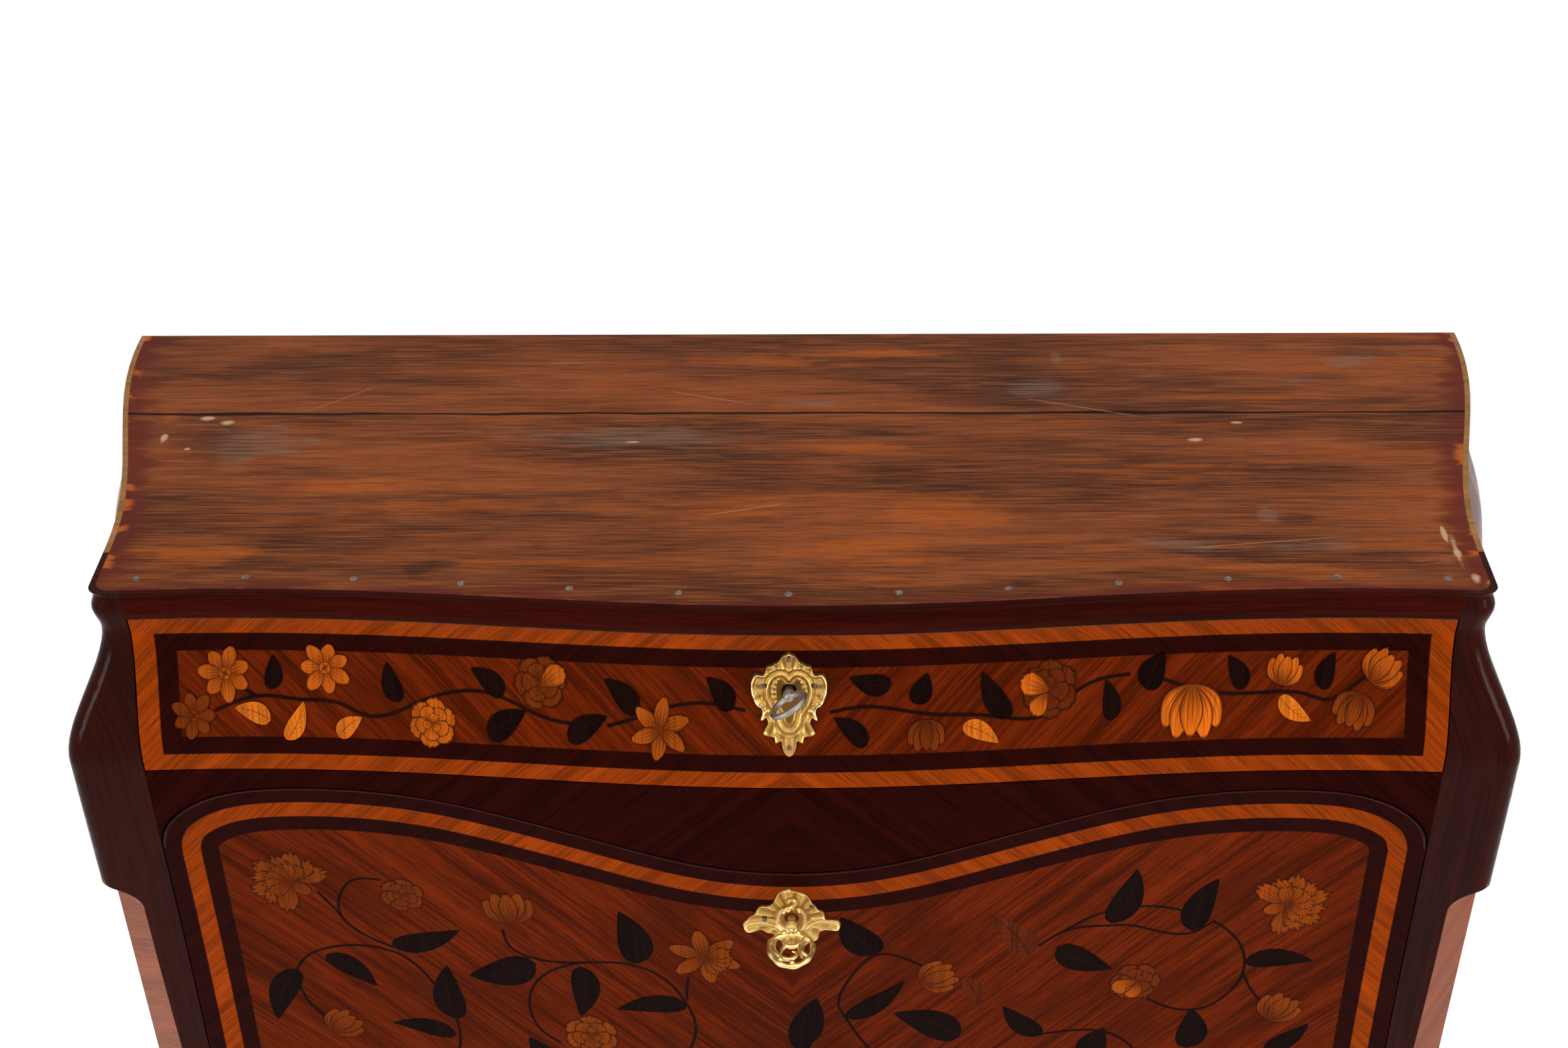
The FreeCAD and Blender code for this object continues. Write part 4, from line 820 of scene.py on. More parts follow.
def carnation(x, z, size, turn):
    """Carnation: two fans of frilled petals on one side, and a calyx on the other."""
    outer = ring_of(lambda k, a: petal(x, z, (0.60 - 0.06 * (k % 2)) * size, 0.34 * size, a,
                                       FLOWER_LIFT + PLY * k, 0.10), 9, turn - 118.0, 236.0)
    inner = ring_of(lambda k, a: petal(x, z, 0.38 * size, 0.24 * size, a, INNER_LIFT + PLY * k, 0.12), 6,
                    turn - 80.0, 160.0)
    return outer + inner + [blade(x, z, 0.36 * size, 0.24 * size, turn + 180.0, CALYX_LIFT, 0.0, 1.2)]


def root_of(x, z, size, turn):
    """Foot of a flower that opens one way, so that x, z is its middle."""
    return x - 0.45 * size * math.cos(math.radians(turn)), z - 0.45 * size * math.sin(math.radians(turn))


def tulip(x, z, size, turn):
    """Tulip: five pointed petals side by side, opening one way."""
    foot = root_of(x, z, size, turn)
    swings = ((-34.0, 0.86, -0.10), (34.0, 0.86, 0.10), (-16.0, 0.95, -0.04), (16.0, 0.95, 0.04),
              (0.0, 0.88, 0.0))
    return [blade(*foot, share * size, 0.42 * size, turn + swing, FLOWER_LIFT + 0.00003 * k, bend, 0.95)
            for k, (swing, share, bend) in enumerate(swings)]


def daffodil(x, z, size, turn):
    """Daffodil: six pointed petals behind a frilled trumpet that leans one way."""
    star = ring_of(lambda k, a: blade(x, z, 0.56 * size, 0.27 * size, a,
                                      FLOWER_LIFT + 0.00002 * (k % 2)), 6, turn)
    tip_x = x - 0.04 * size * math.cos(math.radians(turn))
    tip_z = z - 0.04 * size * math.sin(math.radians(turn))
    cup = ring_of(lambda k, a: petal(tip_x, tip_z, 0.36 * size, 0.24 * size, a, INNER_LIFT + PLY * k, 0.12),
                  5, turn + 135.0, 90.0)
    return star + cup


def lily(x, z, size, turn):
    """Lily: six slender pointed petals, three above three."""
    return ring_of(lambda k, a: blade(x, z, 0.56 * size, 0.28 * size, a,
                                      FLOWER_LIFT + 0.00004 * (k % 2), 0.03, 0.95), 6, turn)


def lobe(x, z, size, turn):
    """Single pale petal set over a scorched flower."""
    return [petal(x, z, size, 0.8 * size, turn, LOBE_LIFT, 0.03)]


def stem(points, width):
    """Inlaid stem: a ribbon along a smooth path on the front."""
    path = smooth_path(points, 12 * len(points)) * MM
    ahead = np.gradient(path, axis=0)
    ahead /= np.linalg.norm(ahead, axis=1)[:, None]
    aside = np.stack([-ahead[:, 1], ahead[:, 0]], axis=-1)
    across = np.linspace(-0.5, 0.5, 3) * width
    flat = path[:, None, :] + across[None, :, None] * aside[:, None, :]
    uv = np.stack(np.meshgrid(np.linspace(0.0, 1.0, len(path)), across, indexing="ij"), axis=-1)
    return patch(on_front(flat[..., 0], flat[..., 1], STEM_LIFT)[::-1], uv[::-1])


# Marquetry, in millimetres on the front: leaves are (x, z, length, width, angle) from the root,
# flowers (kind, x, z, size, angle, tone), with tone 0 for scorched wood and 1 for pale wood
DRAWER_STEMS = (
    ((-383, 1315), (-370, 1320), (-353, 1324), (-325, 1322), (-299, 1320), (-280, 1313), (-264, 1315),
     (-245, 1323), (-222, 1330), (-203, 1331), (-184, 1326), (-161, 1317), (-139, 1314)),
    ((-120, 1314), (-103, 1319), (-79, 1327), (-54, 1330), (-29, 1326)),
    ((-364, 1329), (-359, 1326), (-355, 1324)),
    ((27, 1325), (48, 1328), (76, 1325), (97, 1322), (122, 1321), (144, 1318), (169, 1319), (190, 1333),
     (205, 1339), (224, 1341)),
    ((246, 1337), (264, 1331), (286, 1327), (317, 1327), (342, 1325), (354, 1322), (368, 1328),
     (380, 1337)))
DRAWER_FLOWERS = (
    ("open", -375, 1338, 35, 20, 0.5), ("open", -308, 1342, 34, 75, 0.62),
    ("open", -397, 1312, 30, 0, 0.12), ("rose", -164, 1339, 36, 10, 0.1),
    ("lobe", -164, 1337, 20, 35, 0.6), ("rose", -237, 1310, 33, 20, 0.6),
    ("lily", -85, 1313, 38, 20, 0.42), ("rose", 171, 1335, 38, 30, 0.03),
    ("lobe", 170, 1334, 20, 160, 0.85), ("lobe", 169, 1332, 16, 235, 0.8),
    ("tulip", 265, 1316, 38, 268, 1.0), ("tulip", 326, 1341, 22, 75, 0.7),
    ("tulip", 390, 1342, 26, 50, 0.5), ("tulip", 90, 1309, 23, 270, 0.12),
    ("tulip", 372, 1315, 26, 250, 0.2))
DRAWER_PALE_LEAVES = (
    (-336, 1296, 28, 12, 63), (-301, 1299, 21, 12, 38), (-346, 1309, 25, 13, 162),
    (114, 1315, 27, 12, 333), (323, 1324, 26, 12, 325))
DRAWER_LEAVES = (
    (-345, 1328, 22, 12, 84), (-259, 1322, 26, 13, 107), (-189, 1329, 27, 14, 142),
    (-199, 1302, 31, 17, 37), (-100, 1322, 30, 15, 136), (-146, 1303, 31, 15, 33),
    (-38, 1326, 26, 15, 128), (67, 1341, 28, 14, 169), (82, 1329, 21, 14, 66), (145, 1318, 35, 15, 122),
    (212, 1313, 26, 12, 99), (235, 1331, 26, 18, 64), (299, 1329, 24, 13, 116), (351, 1328, 25, 13, 73),
    (51, 1304, 28, 13, 141))
FALL_STEMS = (
    ((-288, 1170), (-307, 1169), (-318, 1154), (-320, 1134), (-308, 1117), (-286, 1103)),
    ((-334, 1157), (-324, 1141), (-320, 1134)),
    ((-359, 1079), (-350, 1092), (-333, 1101), (-310, 1104), (-282, 1096), (-263, 1073), (-253, 1051),
     (-247, 1031), (-248, 1000), (-262, 950), (-230, 900), (-180, 862)),
    ((-360, 1069), (-357, 1052), (-345, 1031)),
    ((-205, 1127), (-201, 1110), (-186, 1100), (-151, 1098), (-112, 1098), (-90, 1084), (-78, 1064),
     (-71, 1041), (-76, 1012), (-92, 960), (-60, 900), (-10, 862)),
    ((-151, 1098), (-174, 1087), (-189, 1066), (-191, 1043), (-183, 1023), (-171, 1013)),
    ((-74, 1089), (-76, 1075), (-76, 1064)),
    ((93, 1099), (78, 1109), (61, 1113), (47, 1100), (37, 1081), (33, 1061), (38, 1048), (54, 1017),
     (86, 970), (60, 910), (-10, 862)),
    ((174, 1114), (195, 1129), (218, 1131), (238, 1130), (258, 1123), (282, 1120), (297, 1131)),
    ((192, 1128), (211, 1141), (236, 1148), (270, 1144), (280, 1140)),
    ((297, 1131), (314, 1114), (323, 1090), (322, 1074), (312, 1055), (296, 1043), (275, 1044),
     (256, 1055)),
    ((323, 1079), (332, 1059), (341, 1047)),
    ((174, 1022), (198, 1025), (225, 1023), (247, 1007), (256, 960), (232, 905), (180, 862)),
    ((-360, 842), (-300, 860), (-180, 862), (-90, 842), (-10, 862), (80, 842), (180, 862), (300, 860),
     (360, 842)))
FALL_FLOWERS = (
    ("carnation", -352, 1166, 50, 140, 0.18), ("rose", -274, 1156, 33, 20, 0.09),
    ("tulip", -199, 1149, 34, 95, 0.19), ("daffodil", -62, 1110, 50, 160, 0.25),
    ("tulip", -331, 1024, 29, 40, 0.19), ("rose", -148, 1023, 42, 30, 0.21),
    ("carnation", 347, 1146, 50, 22, 0.29), ("tulip", 353, 1043, 31, 60, 0.23),
    ("rose", 246, 1073, 38, 0, 0.08), ("lobe", 247, 1074, 20, 205, 0.5),
    ("lobe", 249, 1072, 17, 245, 0.47), ("tulip", 104, 1088, 31, 20, 0.23),
    ("open", -262, 935, 40, 10, 0.21), ("rose", -62, 930, 44, 25, 0.21),
    ("tulip", 62, 958, 36, 70, 0.23), ("carnation", 240, 938, 46, 85, 0.25),
    ("open", -372, 850, 34, 0, 0.21), ("open", 372, 850, 34, 30, 0.21), ("rose", 0, 848, 48, 12, 0.19),
    ("tulip", -180, 902, 34, 80, 0.21), ("daffodil", 165, 888, 42, 20, 0.23))
FALL_LEAVES = (
    (-287, 1105, 54, 19, 20), (-336, 1094, 46, 18, 317), (-359, 1079, 56, 21, 248),
    (-246, 1032, 55, 23, 93), (-249, 1015, 47, 16, 167), (-184, 1094, 52, 28, 198),
    (-110, 1100, 53, 25, 102), (-151, 1094, 52, 21, 266), (-76, 1059, 52, 18, 188),
    (-172, 989, 36, 17, 129), (3, 1017, 54, 19, 75), (61, 1114, 46, 25, 126), (38, 1048, 56, 17, 42),
    (6, 1012, 57, 19, 80), (121, 1024, 56, 27, 150), (181, 1022, 44, 17, 132), (224, 1133, 54, 22, 74),
    (282, 1122, 53, 22, 74), (187, 1112, 48, 22, 329), (323, 1090, 49, 18, 0), (289, 1002, 41, 23, 90),
    (217, 996, 32, 23, 73), (347, 999, 40, 16, 43), (-262, 955, 44, 18, 150), (-240, 905, 46, 18, 330),
    (-88, 972, 42, 17, 150), (-70, 905, 44, 18, 190), (85, 965, 42, 17, 330), (70, 915, 44, 18, 30),
    (254, 975, 42, 17, 20), (236, 910, 44, 18, 330), (-300, 860, 44, 18, 100), (300, 860, 44, 18, 80),
    (-95, 842, 42, 17, 270), (95, 842, 42, 17, 270), (-230, 860, 40, 16, 280), (230, 860, 40, 16, 260))
FALL_PALE_LEAVES = ((168, 1105, 51, 21, 125), (122, 1086, 32, 13, 291))
DOOR_STEMS = (
    ((230, 250), (228, 310), (240, 370), (222, 430), (206, 490), (222, 545), (250, 585)),
    ((229, 320), (190, 350), (150, 395), (140, 440)),
    ((236, 350), (285, 385), (320, 430), (324, 480)))
DOOR_FLOWERS = (
    ("carnation", 252, 592, 52, 70, 0.25), ("open", 138, 452, 44, 15, 0.23),
    ("rose", 326, 492, 46, 20, 0.21), ("tulip", 190, 540, 40, 115, 0.23),
    ("daffodil", 218, 432, 50, 10, 0.25), ("open", 175, 330, 34, 0, 0.21),
    ("tulip", 300, 345, 36, 60, 0.23))
DOOR_LEAVES = (
    (228, 300, 46, 18, 150), (230, 310, 46, 18, 20), (238, 375, 44, 18, 35), (190, 350, 42, 17, 200),
    (285, 385, 44, 17, 320), (210, 480, 44, 18, 170), (212, 505, 46, 18, 20), (226, 550, 44, 18, 40),
    (150, 400, 42, 17, 215), (320, 435, 42, 17, 20), (232, 262, 46, 18, 40), (229, 258, 46, 18, 140))


def bloom(kind, x, z, size, turn):
    """Grid patches of one flower."""
    makers = {"open": open_flower, "rose": rose, "tulip": tulip, "carnation": carnation,
              "daffodil": daffodil, "lily": lily, "lobe": lobe}
    return makers[kind](x, z, size, turn)


def leaf_row(leaves, flip=1.0):
    """Leaves from (x, z, length, width, angle) of their roots, each bent a little; flip mirrors them."""
    rows = []
    for index, (x, z, length, width, angle) in enumerate(leaves):
        bend = 0.07 if index % 2 else -0.07
        angle = angle if flip > 0 else 180.0 - angle
        lift = LEAF_LIFT + 0.00001 * (index % 5)
        rows.append(blade(flip * x, z, length, width, angle, lift, flip * bend, 0.66))
    return rows


def inlay(prefix, body, stems, leaves, flowers, flip=1.0):
    """One panel's marquetry: stems, leaves and flowers as three sheets that ride on its body."""
    look = bpy.data.materials
    width = finish().stem_width
    ribbons = [stem([(flip * x, z) for x, z in line], width) for line in stems]
    build_mesh(prefix + "_stems", ribbons, look["stem_wood"], body)
    build_mesh(prefix + "_leaves", leaf_row(leaves, flip), look["leaf_wood"], body)
    petals = []
    tones = []
    for kind, x, z, size, turn, tone in flowers:
        made = bloom(kind, flip * x, z, size, turn if flip > 0 else 180.0 - turn)
        petals.extend(made)
        tones.extend(np.full(points.shape[:2], tone).ravel() for points, _, _ in made)
    build_mesh(prefix + "_flowers", petals, look["petal_wood"], body, {"tone": np.concatenate(tones)})


# Upper edge of the fall: shares of its half width, and of the depth of its dip
FALL_TOP = (
    (0.0, 1.0), (0.15, 0.89), (0.30, 0.59), (0.44, 0.30), (0.56, 0.10), (0.69, 0.0), (0.80, 0.0),
    (0.90, 0.11), (0.953, 0.30), (0.985, 0.53), (1.0, 0.85))
FALL_SHOULDER_Z = 1.254
FALL_DIP = 0.061
FALL_FOOT_Z = 0.7285
FOOT_BAND = 0.010
ARRIS_INSET = 0.0008
ARRIS_LIFT = 0.0003
ARRIS_RADIUS = 0.0006


def fall_outline():
    """Upper edge of the fall from left to right, in metres (x, z), on the spline that the solid has."""
    right = [(share * FACE_HALF, FALL_SHOULDER_Z - dip * FALL_DIP) for share, dip in FALL_TOP]
    left = [(-x, z) for x, z in reversed(right[1:])]
    return smooth_path(left + right, 400)


def fall_sheet():
    """Veneer over the fall, in columns from its foot to the shaped edge, with the distance to the edge."""
    top = fall_outline()
    inset = 0.0004
    x = np.linspace(-FACE_HALF + inset, FACE_HALF - inset, 181)
    crest = np.interp(x, top[:, 0], top[:, 1]) - inset
    rows = np.linspace(0.0, 1.0, 121)
    z = FALL_FOOT_Z + rows[:, None] * (crest - FALL_FOOT_Z)[None, :]
    wide = np.broadcast_to(x, z.shape)
    points = on_front(wide, z, SHEET)
    near = np.full(z.shape, 1.0)
    for a, b in zip(top[:-1], top[1:]):
        run = b - a
        along = np.clip(((wide - a[0]) * run[0] + (z - a[1]) * run[1]) / (run @ run), 0.0, 1.0)
        near = np.minimum(near, np.hypot(wide - a[0] - along * run[0], z - a[1] - along * run[1]))
    edge = np.minimum(near, np.minimum(FACE_HALF - np.abs(wide), z - FALL_FOOT_Z + FOOT_BAND))
    return patch(points, np.stack([wide, z], axis=-1)), edge


def fall_bead():
    """Polished arris of the fall: a fine round bar along its shaped edge."""
    top = fall_outline()
    x = top[:, 0] * (1.0 - ARRIS_INSET / FACE_HALF)
    z = top[:, 1] - ARRIS_INSET
    return tube(on_front(x, z, ARRIS_LIFT), ARRIS_RADIUS, 8)


# Plates, in millimetres from the keyhole: outlines, the right half only where both halves are alike,
# and the lines of their mouldings
DRAWER_PLATE = (
    (0, 27), (3.8, 24.2), (8.1, 19.6), (10.8, 17.7), (14.6, 16.5), (16.9, 11.9), (21.5, 11.9),
    (25.4, 8.1), (25.6, 1.9), (22.3, -6.5), (18, -11.9), (19.2, -16.9), (16.1, -16.1), (14.2, -18.8),
    (17.7, -25.4), (14.2, -28), (10, -28.5), (9.2, -31.9), (5.8, -31.1), (4.6, -35.4), (0, -40.8))
FALL_PLATE = (
    (-1, 28.9), (4, 26), (10.2, 24), (13.5, 18.6), (15.5, 14.9), (18.8, 9.5), (23, 5.4), (24.6, -0.4),
    (29.6, -0.8), (35, -6.2), (32.9, -11.6), (27.9, -10.5), (23.8, -10.3), (19.7, -15.3), (18.8, -19.4),
    (15.5, -23.1), (7, -28), (0, -31), (-7, -24.5), (-14.2, -15.3), (-18.3, -12.8), (-23.3, -11.3),
    (-27, -12.6), (-31.6, -13), (-35, -7.9), (-31.6, -1.2), (-27, 3.7), (-20.8, 12), (-14.2, 13.6),
    (-12.1, 18.6), (-9.3, 24.4), (-5.5, 27.7))
HEART = (
    (0, 8.2), (3.2, 11.2), (8.5, 11), (13, 6.5), (14.3, 0), (12.3, -7.5), (8.2, -13), (6.6, -18.5),
    (3.6, -22.3), (0, -23.6))
EAR = ((17.5, 11.2), (22, 10.2), (24.3, 6), (23.8, 0.5), (20.3, -7), (16.6, -12.5), (17.8, -16))
SWAN = (
    (-2, 15.6), (-0.8, 17.4), (1.9, 16.8), (2.4, 13.4), (-1.4, 9.4), (-7.2, 5.8), (-9.6, -0.5),
    (-7.6, -7.5), (-3.2, -12.5))
REED = ((4.8, 8.6), (8.3, 4.4), (9.4, -1.5), (7.6, -8), (5.2, -14.5), (5.6, -20), (9, -22))
RIGHT_EAR = ((10.5, -9), (13.5, -5), (19, -2.2), (26, -2.6), (31.5, -5.2), (32.2, -9.2), (28.6, -9.6))
LEFT_EAR = (
    (-6.5, -11.5), (-12, -6), (-19.5, -3.6), (-27, -4.4), (-32, -7.4), (-31.2, -11.4), (-26.2, -10.4))
BEADS = ((-5.5, 7.2), (-2, 8.6), (1.6, 9.2), (5, 7.4))
HOLE_RADIUS = 5.0
DOOR_PLATE_SCALE = 0.8


def radius_of(outline, angle):
    """Radius of a closed outline about its keyhole at each angle, from a smooth path through its points."""
    path = smooth_path(list(outline) + [outline[0]], 720)
    turn = np.degrees(np.arctan2(path[:, 1], path[:, 0])) % 360.0
    order = np.argsort(turn)
    return np.interp(angle, turn[order], np.hypot(path[:, 0], path[:, 1])[order], period=360.0)


def mirrored(half):
    """Whole outline from its right half, which starts and ends on the middle line."""
    return tuple(half) + tuple((-x, z) for x, z in reversed(half[1:-1]))


def ridge(value, centre, width):
    """Rounded ridge of height 1 about a centre."""
    return np.exp(-((value - centre) / width) ** 2)


def plate_relief(x, z, scale, outline, height_of):
    """Cast plate: rays from the keyhole to the outline, raised by a height that is also given back."""
    angle = np.linspace(0.0, 360.0, 289)[:-1]
    outer = radius_of(outline, angle)
    share = np.concatenate([[0.0], np.linspace(0.0, 1.0, 52), [1.0]])[:, None]
    r = HOLE_RADIUS + share * (outer - HOLE_RADIUS)[None, :]
    turn = np.radians(angle)[None, :]
    dx = r * np.cos(turn)
    dz = r * np.sin(turn)
    rise = height_of(share, dx, dz, turn)
    rise[0] = 0.0
    rise[-1] = 0.0
    points = on_front((x + scale * dx) * MM, (z + scale * dz) * MM, PLATE_LIFT)
    points[..., 1] -= scale * rise * MM
    uv = np.stack(np.broadcast_arrays(share, turn), axis=-1)
    return patch(points[::-1], uv[::-1], True), (rise / rise.max())[::-1]


def near(dx, dz, points):
    """Distance of each place from a smooth path through points."""
    path = smooth_path(points, 90)
    return np.sqrt(np.min((dx[..., None] - path[:, 0]) ** 2 + (dz[..., None] - path[:, 1]) ** 2, axis=-1))


def shell_height(share, dx, dz, turn):
    """Drawer plate: a heart moulding round the hole, flutes that fan out beyond it and rolled ears."""
    side = np.abs(dx)
    heart = near(side, dz, HEART)
    inside = near(side, dz, ((0, 3), (0, 0), (0, -6), (0, -16))) < 8.0 - 3.0 * ease((-dz - 4.0) / 10.0)
    flutes = 0.5 + 0.5 * np.cos(turn * 20.0)
    outside = ease((heart - 1.2) / 4.0) * np.where(inside, 0.0, 1.0)
    edge = ease((1.0 - share) / 0.05)
    ear = near(side, dz, EAR)
    return edge * (1.0 + 2.0 * ridge(heart, 0.0, 1.5) + 0.7 * ridge(heart, 3.4, 0.8)
                   + 1.7 * ridge(ear, 0.0, 1.6) + outside * (0.2 + 1.2 * flutes)
                   + 0.6 * ridge(share, 0.94, 0.04))


def scroll_height(share, dx, dz, turn):
    """Fall plate: a swan-necked scroll and a reed round the hole, curled ears, beads and a fluted shell."""
    swan = near(dx, dz, SWAN)
    reed = near(dx, dz, REED)
    ears = np.minimum(near(dx, dz, RIGHT_EAR), near(dx, dz, LEFT_EAR))
    flutes = 0.5 + 0.5 * np.cos(turn * 15.0)
    clear = ease((np.minimum(np.minimum(swan, reed), ears) - 1.0) / 3.5)
    far = ease((np.hypot(dx, dz) - 9.0) / 8.0)
    beads = np.max([ridge(np.hypot(dx - a, dz - b), 0.0, 1.1) for a, b in BEADS], axis=0)
    edge = ease((1.0 - share) / 0.05)
    return edge * (1.0 + 1.8 * ridge(swan, 0.0, 1.5) + 1.5 * ridge(reed, 0.0, 1.3)
                   + 2.2 * ridge(ears, 0.0, 1.9) + 1.0 * ridge(ears, 3.0, 0.9)
                   + clear * far * (0.3 + 1.3 * flutes) + 1.3 * beads + 0.6 * ridge(share, 0.94, 0.04))


# Keys, in millimetres: shaft and bit of each, and ring of the steel ones
SHAFT_RADIUS = 3.0
RING_RADIUS = 12.0
RING_WIRE = 2.1
BIT_REACH = 8.0


def key_ring(centre, side, along):
    """Ring of a key: a round bar along a circle in the plane of side and along."""
    turn = np.linspace(0.0, 2.0 * math.pi, 49)[:, None]
    path = centre + RING_RADIUS * MM * (np.cos(turn) * side + np.sin(turn) * along)
    return loop_tube(path, RING_WIRE * MM, 12)


def shaft_profile(stem, run, collars):
    """Turned shaft from its outer end inward: (distance, radius) pairs in metres, with round collars."""
    s = np.linspace(0.0, stem + run, 90)
    radius = SHAFT_RADIUS * np.ones_like(s)
    for place, size in collars:
        radius += size * ridge(s, place, 0.9)
    radius *= np.sqrt(np.clip(s / 1.2, 0.02, 1.0))
    radius[-1] = 0.05
    return np.stack([s, radius], axis=-1) * MM


def key_bit(start, across):
    """Bit of a key: a flat bar out from the shaft."""
    reach = np.linspace(0.0, BIT_REACH, 5)[:, None] * MM
    return tube(start + reach * across, np.array([2.4, 2.6, 2.6, 2.6, 0.02]) * MM, 10, 0.5)


class CABINET_OT_surfaces(bpy.types.Operator):
    """Veneers, boards, metals and leather on the solid pieces"""
    bl_idname = "cabinet.surfaces"
    bl_label = "Surfaces"

    def execute(self, context):
        looks = {
            "top_wood": top_wood(),
            "iron": metal("iron", srgb(122, 104, 94), srgb(84, 62, 52), 0.5, 400.0, 0.4),
            "drawer_veneer": drawer_veneer(),
            "fall_veneer": fall_panel_veneer(),
            "door_veneer": door_veneer(),
            "dark_veneer": dark_rail(),
            "inner_veneer": plain_wood("inner_veneer", shade(finish().tulipwood, 0.85), 0.5, 0.35),
            "gilt_bronze": metal("gilt_bronze", finish().gilt, srgb(168, 118, 48), 0.22, 160.0),
            "old_steel": metal("old_steel", srgb(124, 108, 96), srgb(62, 47, 40), 0.3, 220.0),
            "lock_steel": metal("lock_steel", srgb(128, 124, 120), srgb(80, 66, 56), 0.35, 90.0),
            "brass": metal("brass", srgb(214, 172, 88), srgb(146, 104, 44), 0.25, 80.0),
            "leather": leather(),
            "oak": plain_wood("oak", OAK, 0.45, 0.6),
        }
        for row in frame["record"]["subparts"]:
            self.coat(row["node"], looks[row["material_slot"]])
        stile = stile_veneer()
        side = side_veneer()
        upright = plain_wood("oak_upright", OAK, 0.45, 0.6, "z")
        inward = plain_wood("oak_inward", OAK, 0.45, 0.6, "y")
        for end in ("left", "right"):
            self.coat("stile_front_" + end, stile)
            self.coat("side_" + end, side)
            self.coat("stile_rear_" + end, upright)
        self.coat("frieze_rail", frieze_veneer())
        self.coat("drawer_sides", inward)
        self.coat("drawer_runners", inward)
        leaf = finish().leaf
        leaf_wood("leaf_wood", leaf, shade(leaf, 2.6), 0.5)
        leaf_wood("pale_leaf_wood", srgb(196, 100, 24), srgb(70, 30, 8), 0.6)
        leaf_wood("dim_leaf_wood", srgb(92, 34, 10), srgb(40, 14, 5), 0.7)
        plain_wood("stem_wood", shade(leaf, 1.8), 0.4, 0.3, "x", 0.02)
        plain_wood("arris", shade(finish().rosewood, 1.6), 0.4, 0.25, "x", 0.12)
        petal_wood()
        gilt_relief_painted_light()
        fall_skin_veneer()
        return {"FINISHED"}

    def coat(self, node, material):
        """Gives every slot of a solid one material."""
        slots = frame["nodes"][node].data.materials
        if len(slots) == 0:
            slots.append(material)
        for index in range(len(slots)):
            slots[index] = material


class CABINET_OT_marquetry(bpy.types.Operator):
    """Inlaid flowers on drawer, fall and doors, and the fall's veneer sheet"""
    bl_idname = "cabinet.marquetry"
    bl_label = "Marquetry"

    def execute(self, context):
        look = bpy.data.materials
        sheet, edge = fall_sheet()
        build_mesh("fall_sheet", [sheet], look["fall_skin_veneer"], "fall", {"edge": edge})
        build_mesh("fall_bead", [fall_bead()], look["arris"], "fall")
        inlay("drawer_inlay", "drawer", DRAWER_STEMS, DRAWER_LEAVES, DRAWER_FLOWERS)
        pale = leaf_row(DRAWER_PALE_LEAVES)
        build_mesh("drawer_pale_leaves", pale, look["pale_leaf_wood"], "drawer")
        dim = leaf_row(FALL_PALE_LEAVES)
        build_mesh("fall_pale_leaves", dim, look["dim_leaf_wood"], "fall")
        inlay("fall_inlay", "fall", FALL_STEMS, FALL_LEAVES, FALL_FLOWERS)
        inlay("door_inlay_right", "door_right", DOOR_STEMS, DOOR_LEAVES, DOOR_FLOWERS)
        inlay("door_inlay_left", "door_left", DOOR_STEMS, DOOR_LEAVES, DOOR_FLOWERS, -1.0)
        return {"FINISHED"}


class CABINET_OT_mounts(bpy.types.Operator):
    """Cast gilt plates round the keyholes"""
    bl_idname = "cabinet.mounts"
    bl_label = "Mounts"

    def execute(self, context):
        shell = mirrored(DRAWER_PLATE)
        drawer = (0.0, DRAWER_KEY_Z, 1.0)
        self.plate("drawer_plate", "drawer", "drawer_escutcheon", drawer, shell, shell_height)
        fall = (0.0, FALL_KEY_Z, 1.0)
        self.plate("fall_plate", "fall", "fall_escutcheon", fall, FALL_PLATE, scroll_height)
        for end, side in (("right", 1.0), ("left", -1.0)):
            door = (side * DOOR_KEY_X, DOOR_KEY_Z, DOOR_PLATE_SCALE)
            self.plate("door_plate_" + end, "door_" + end, "door_escutcheon_" + end, door, shell,
                       shell_height)
        return {"FINISHED"}

    def plate(self, name, body, node, place, outline, height_of):
        """Plate at a place (x, z, scale) that stands for a plain solid one."""
        look = bpy.data.materials
        x, z, scale = place
        relief, rise = plate_relief(x / MM, z / MM, scale, outline, height_of)
        # The rise attribute sets where the plate's painted shade and painted highlight fall.
        plate = build_mesh(name, [relief], look["gilt_relief_painted_light"], body, {"rise": rise})
        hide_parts(node)


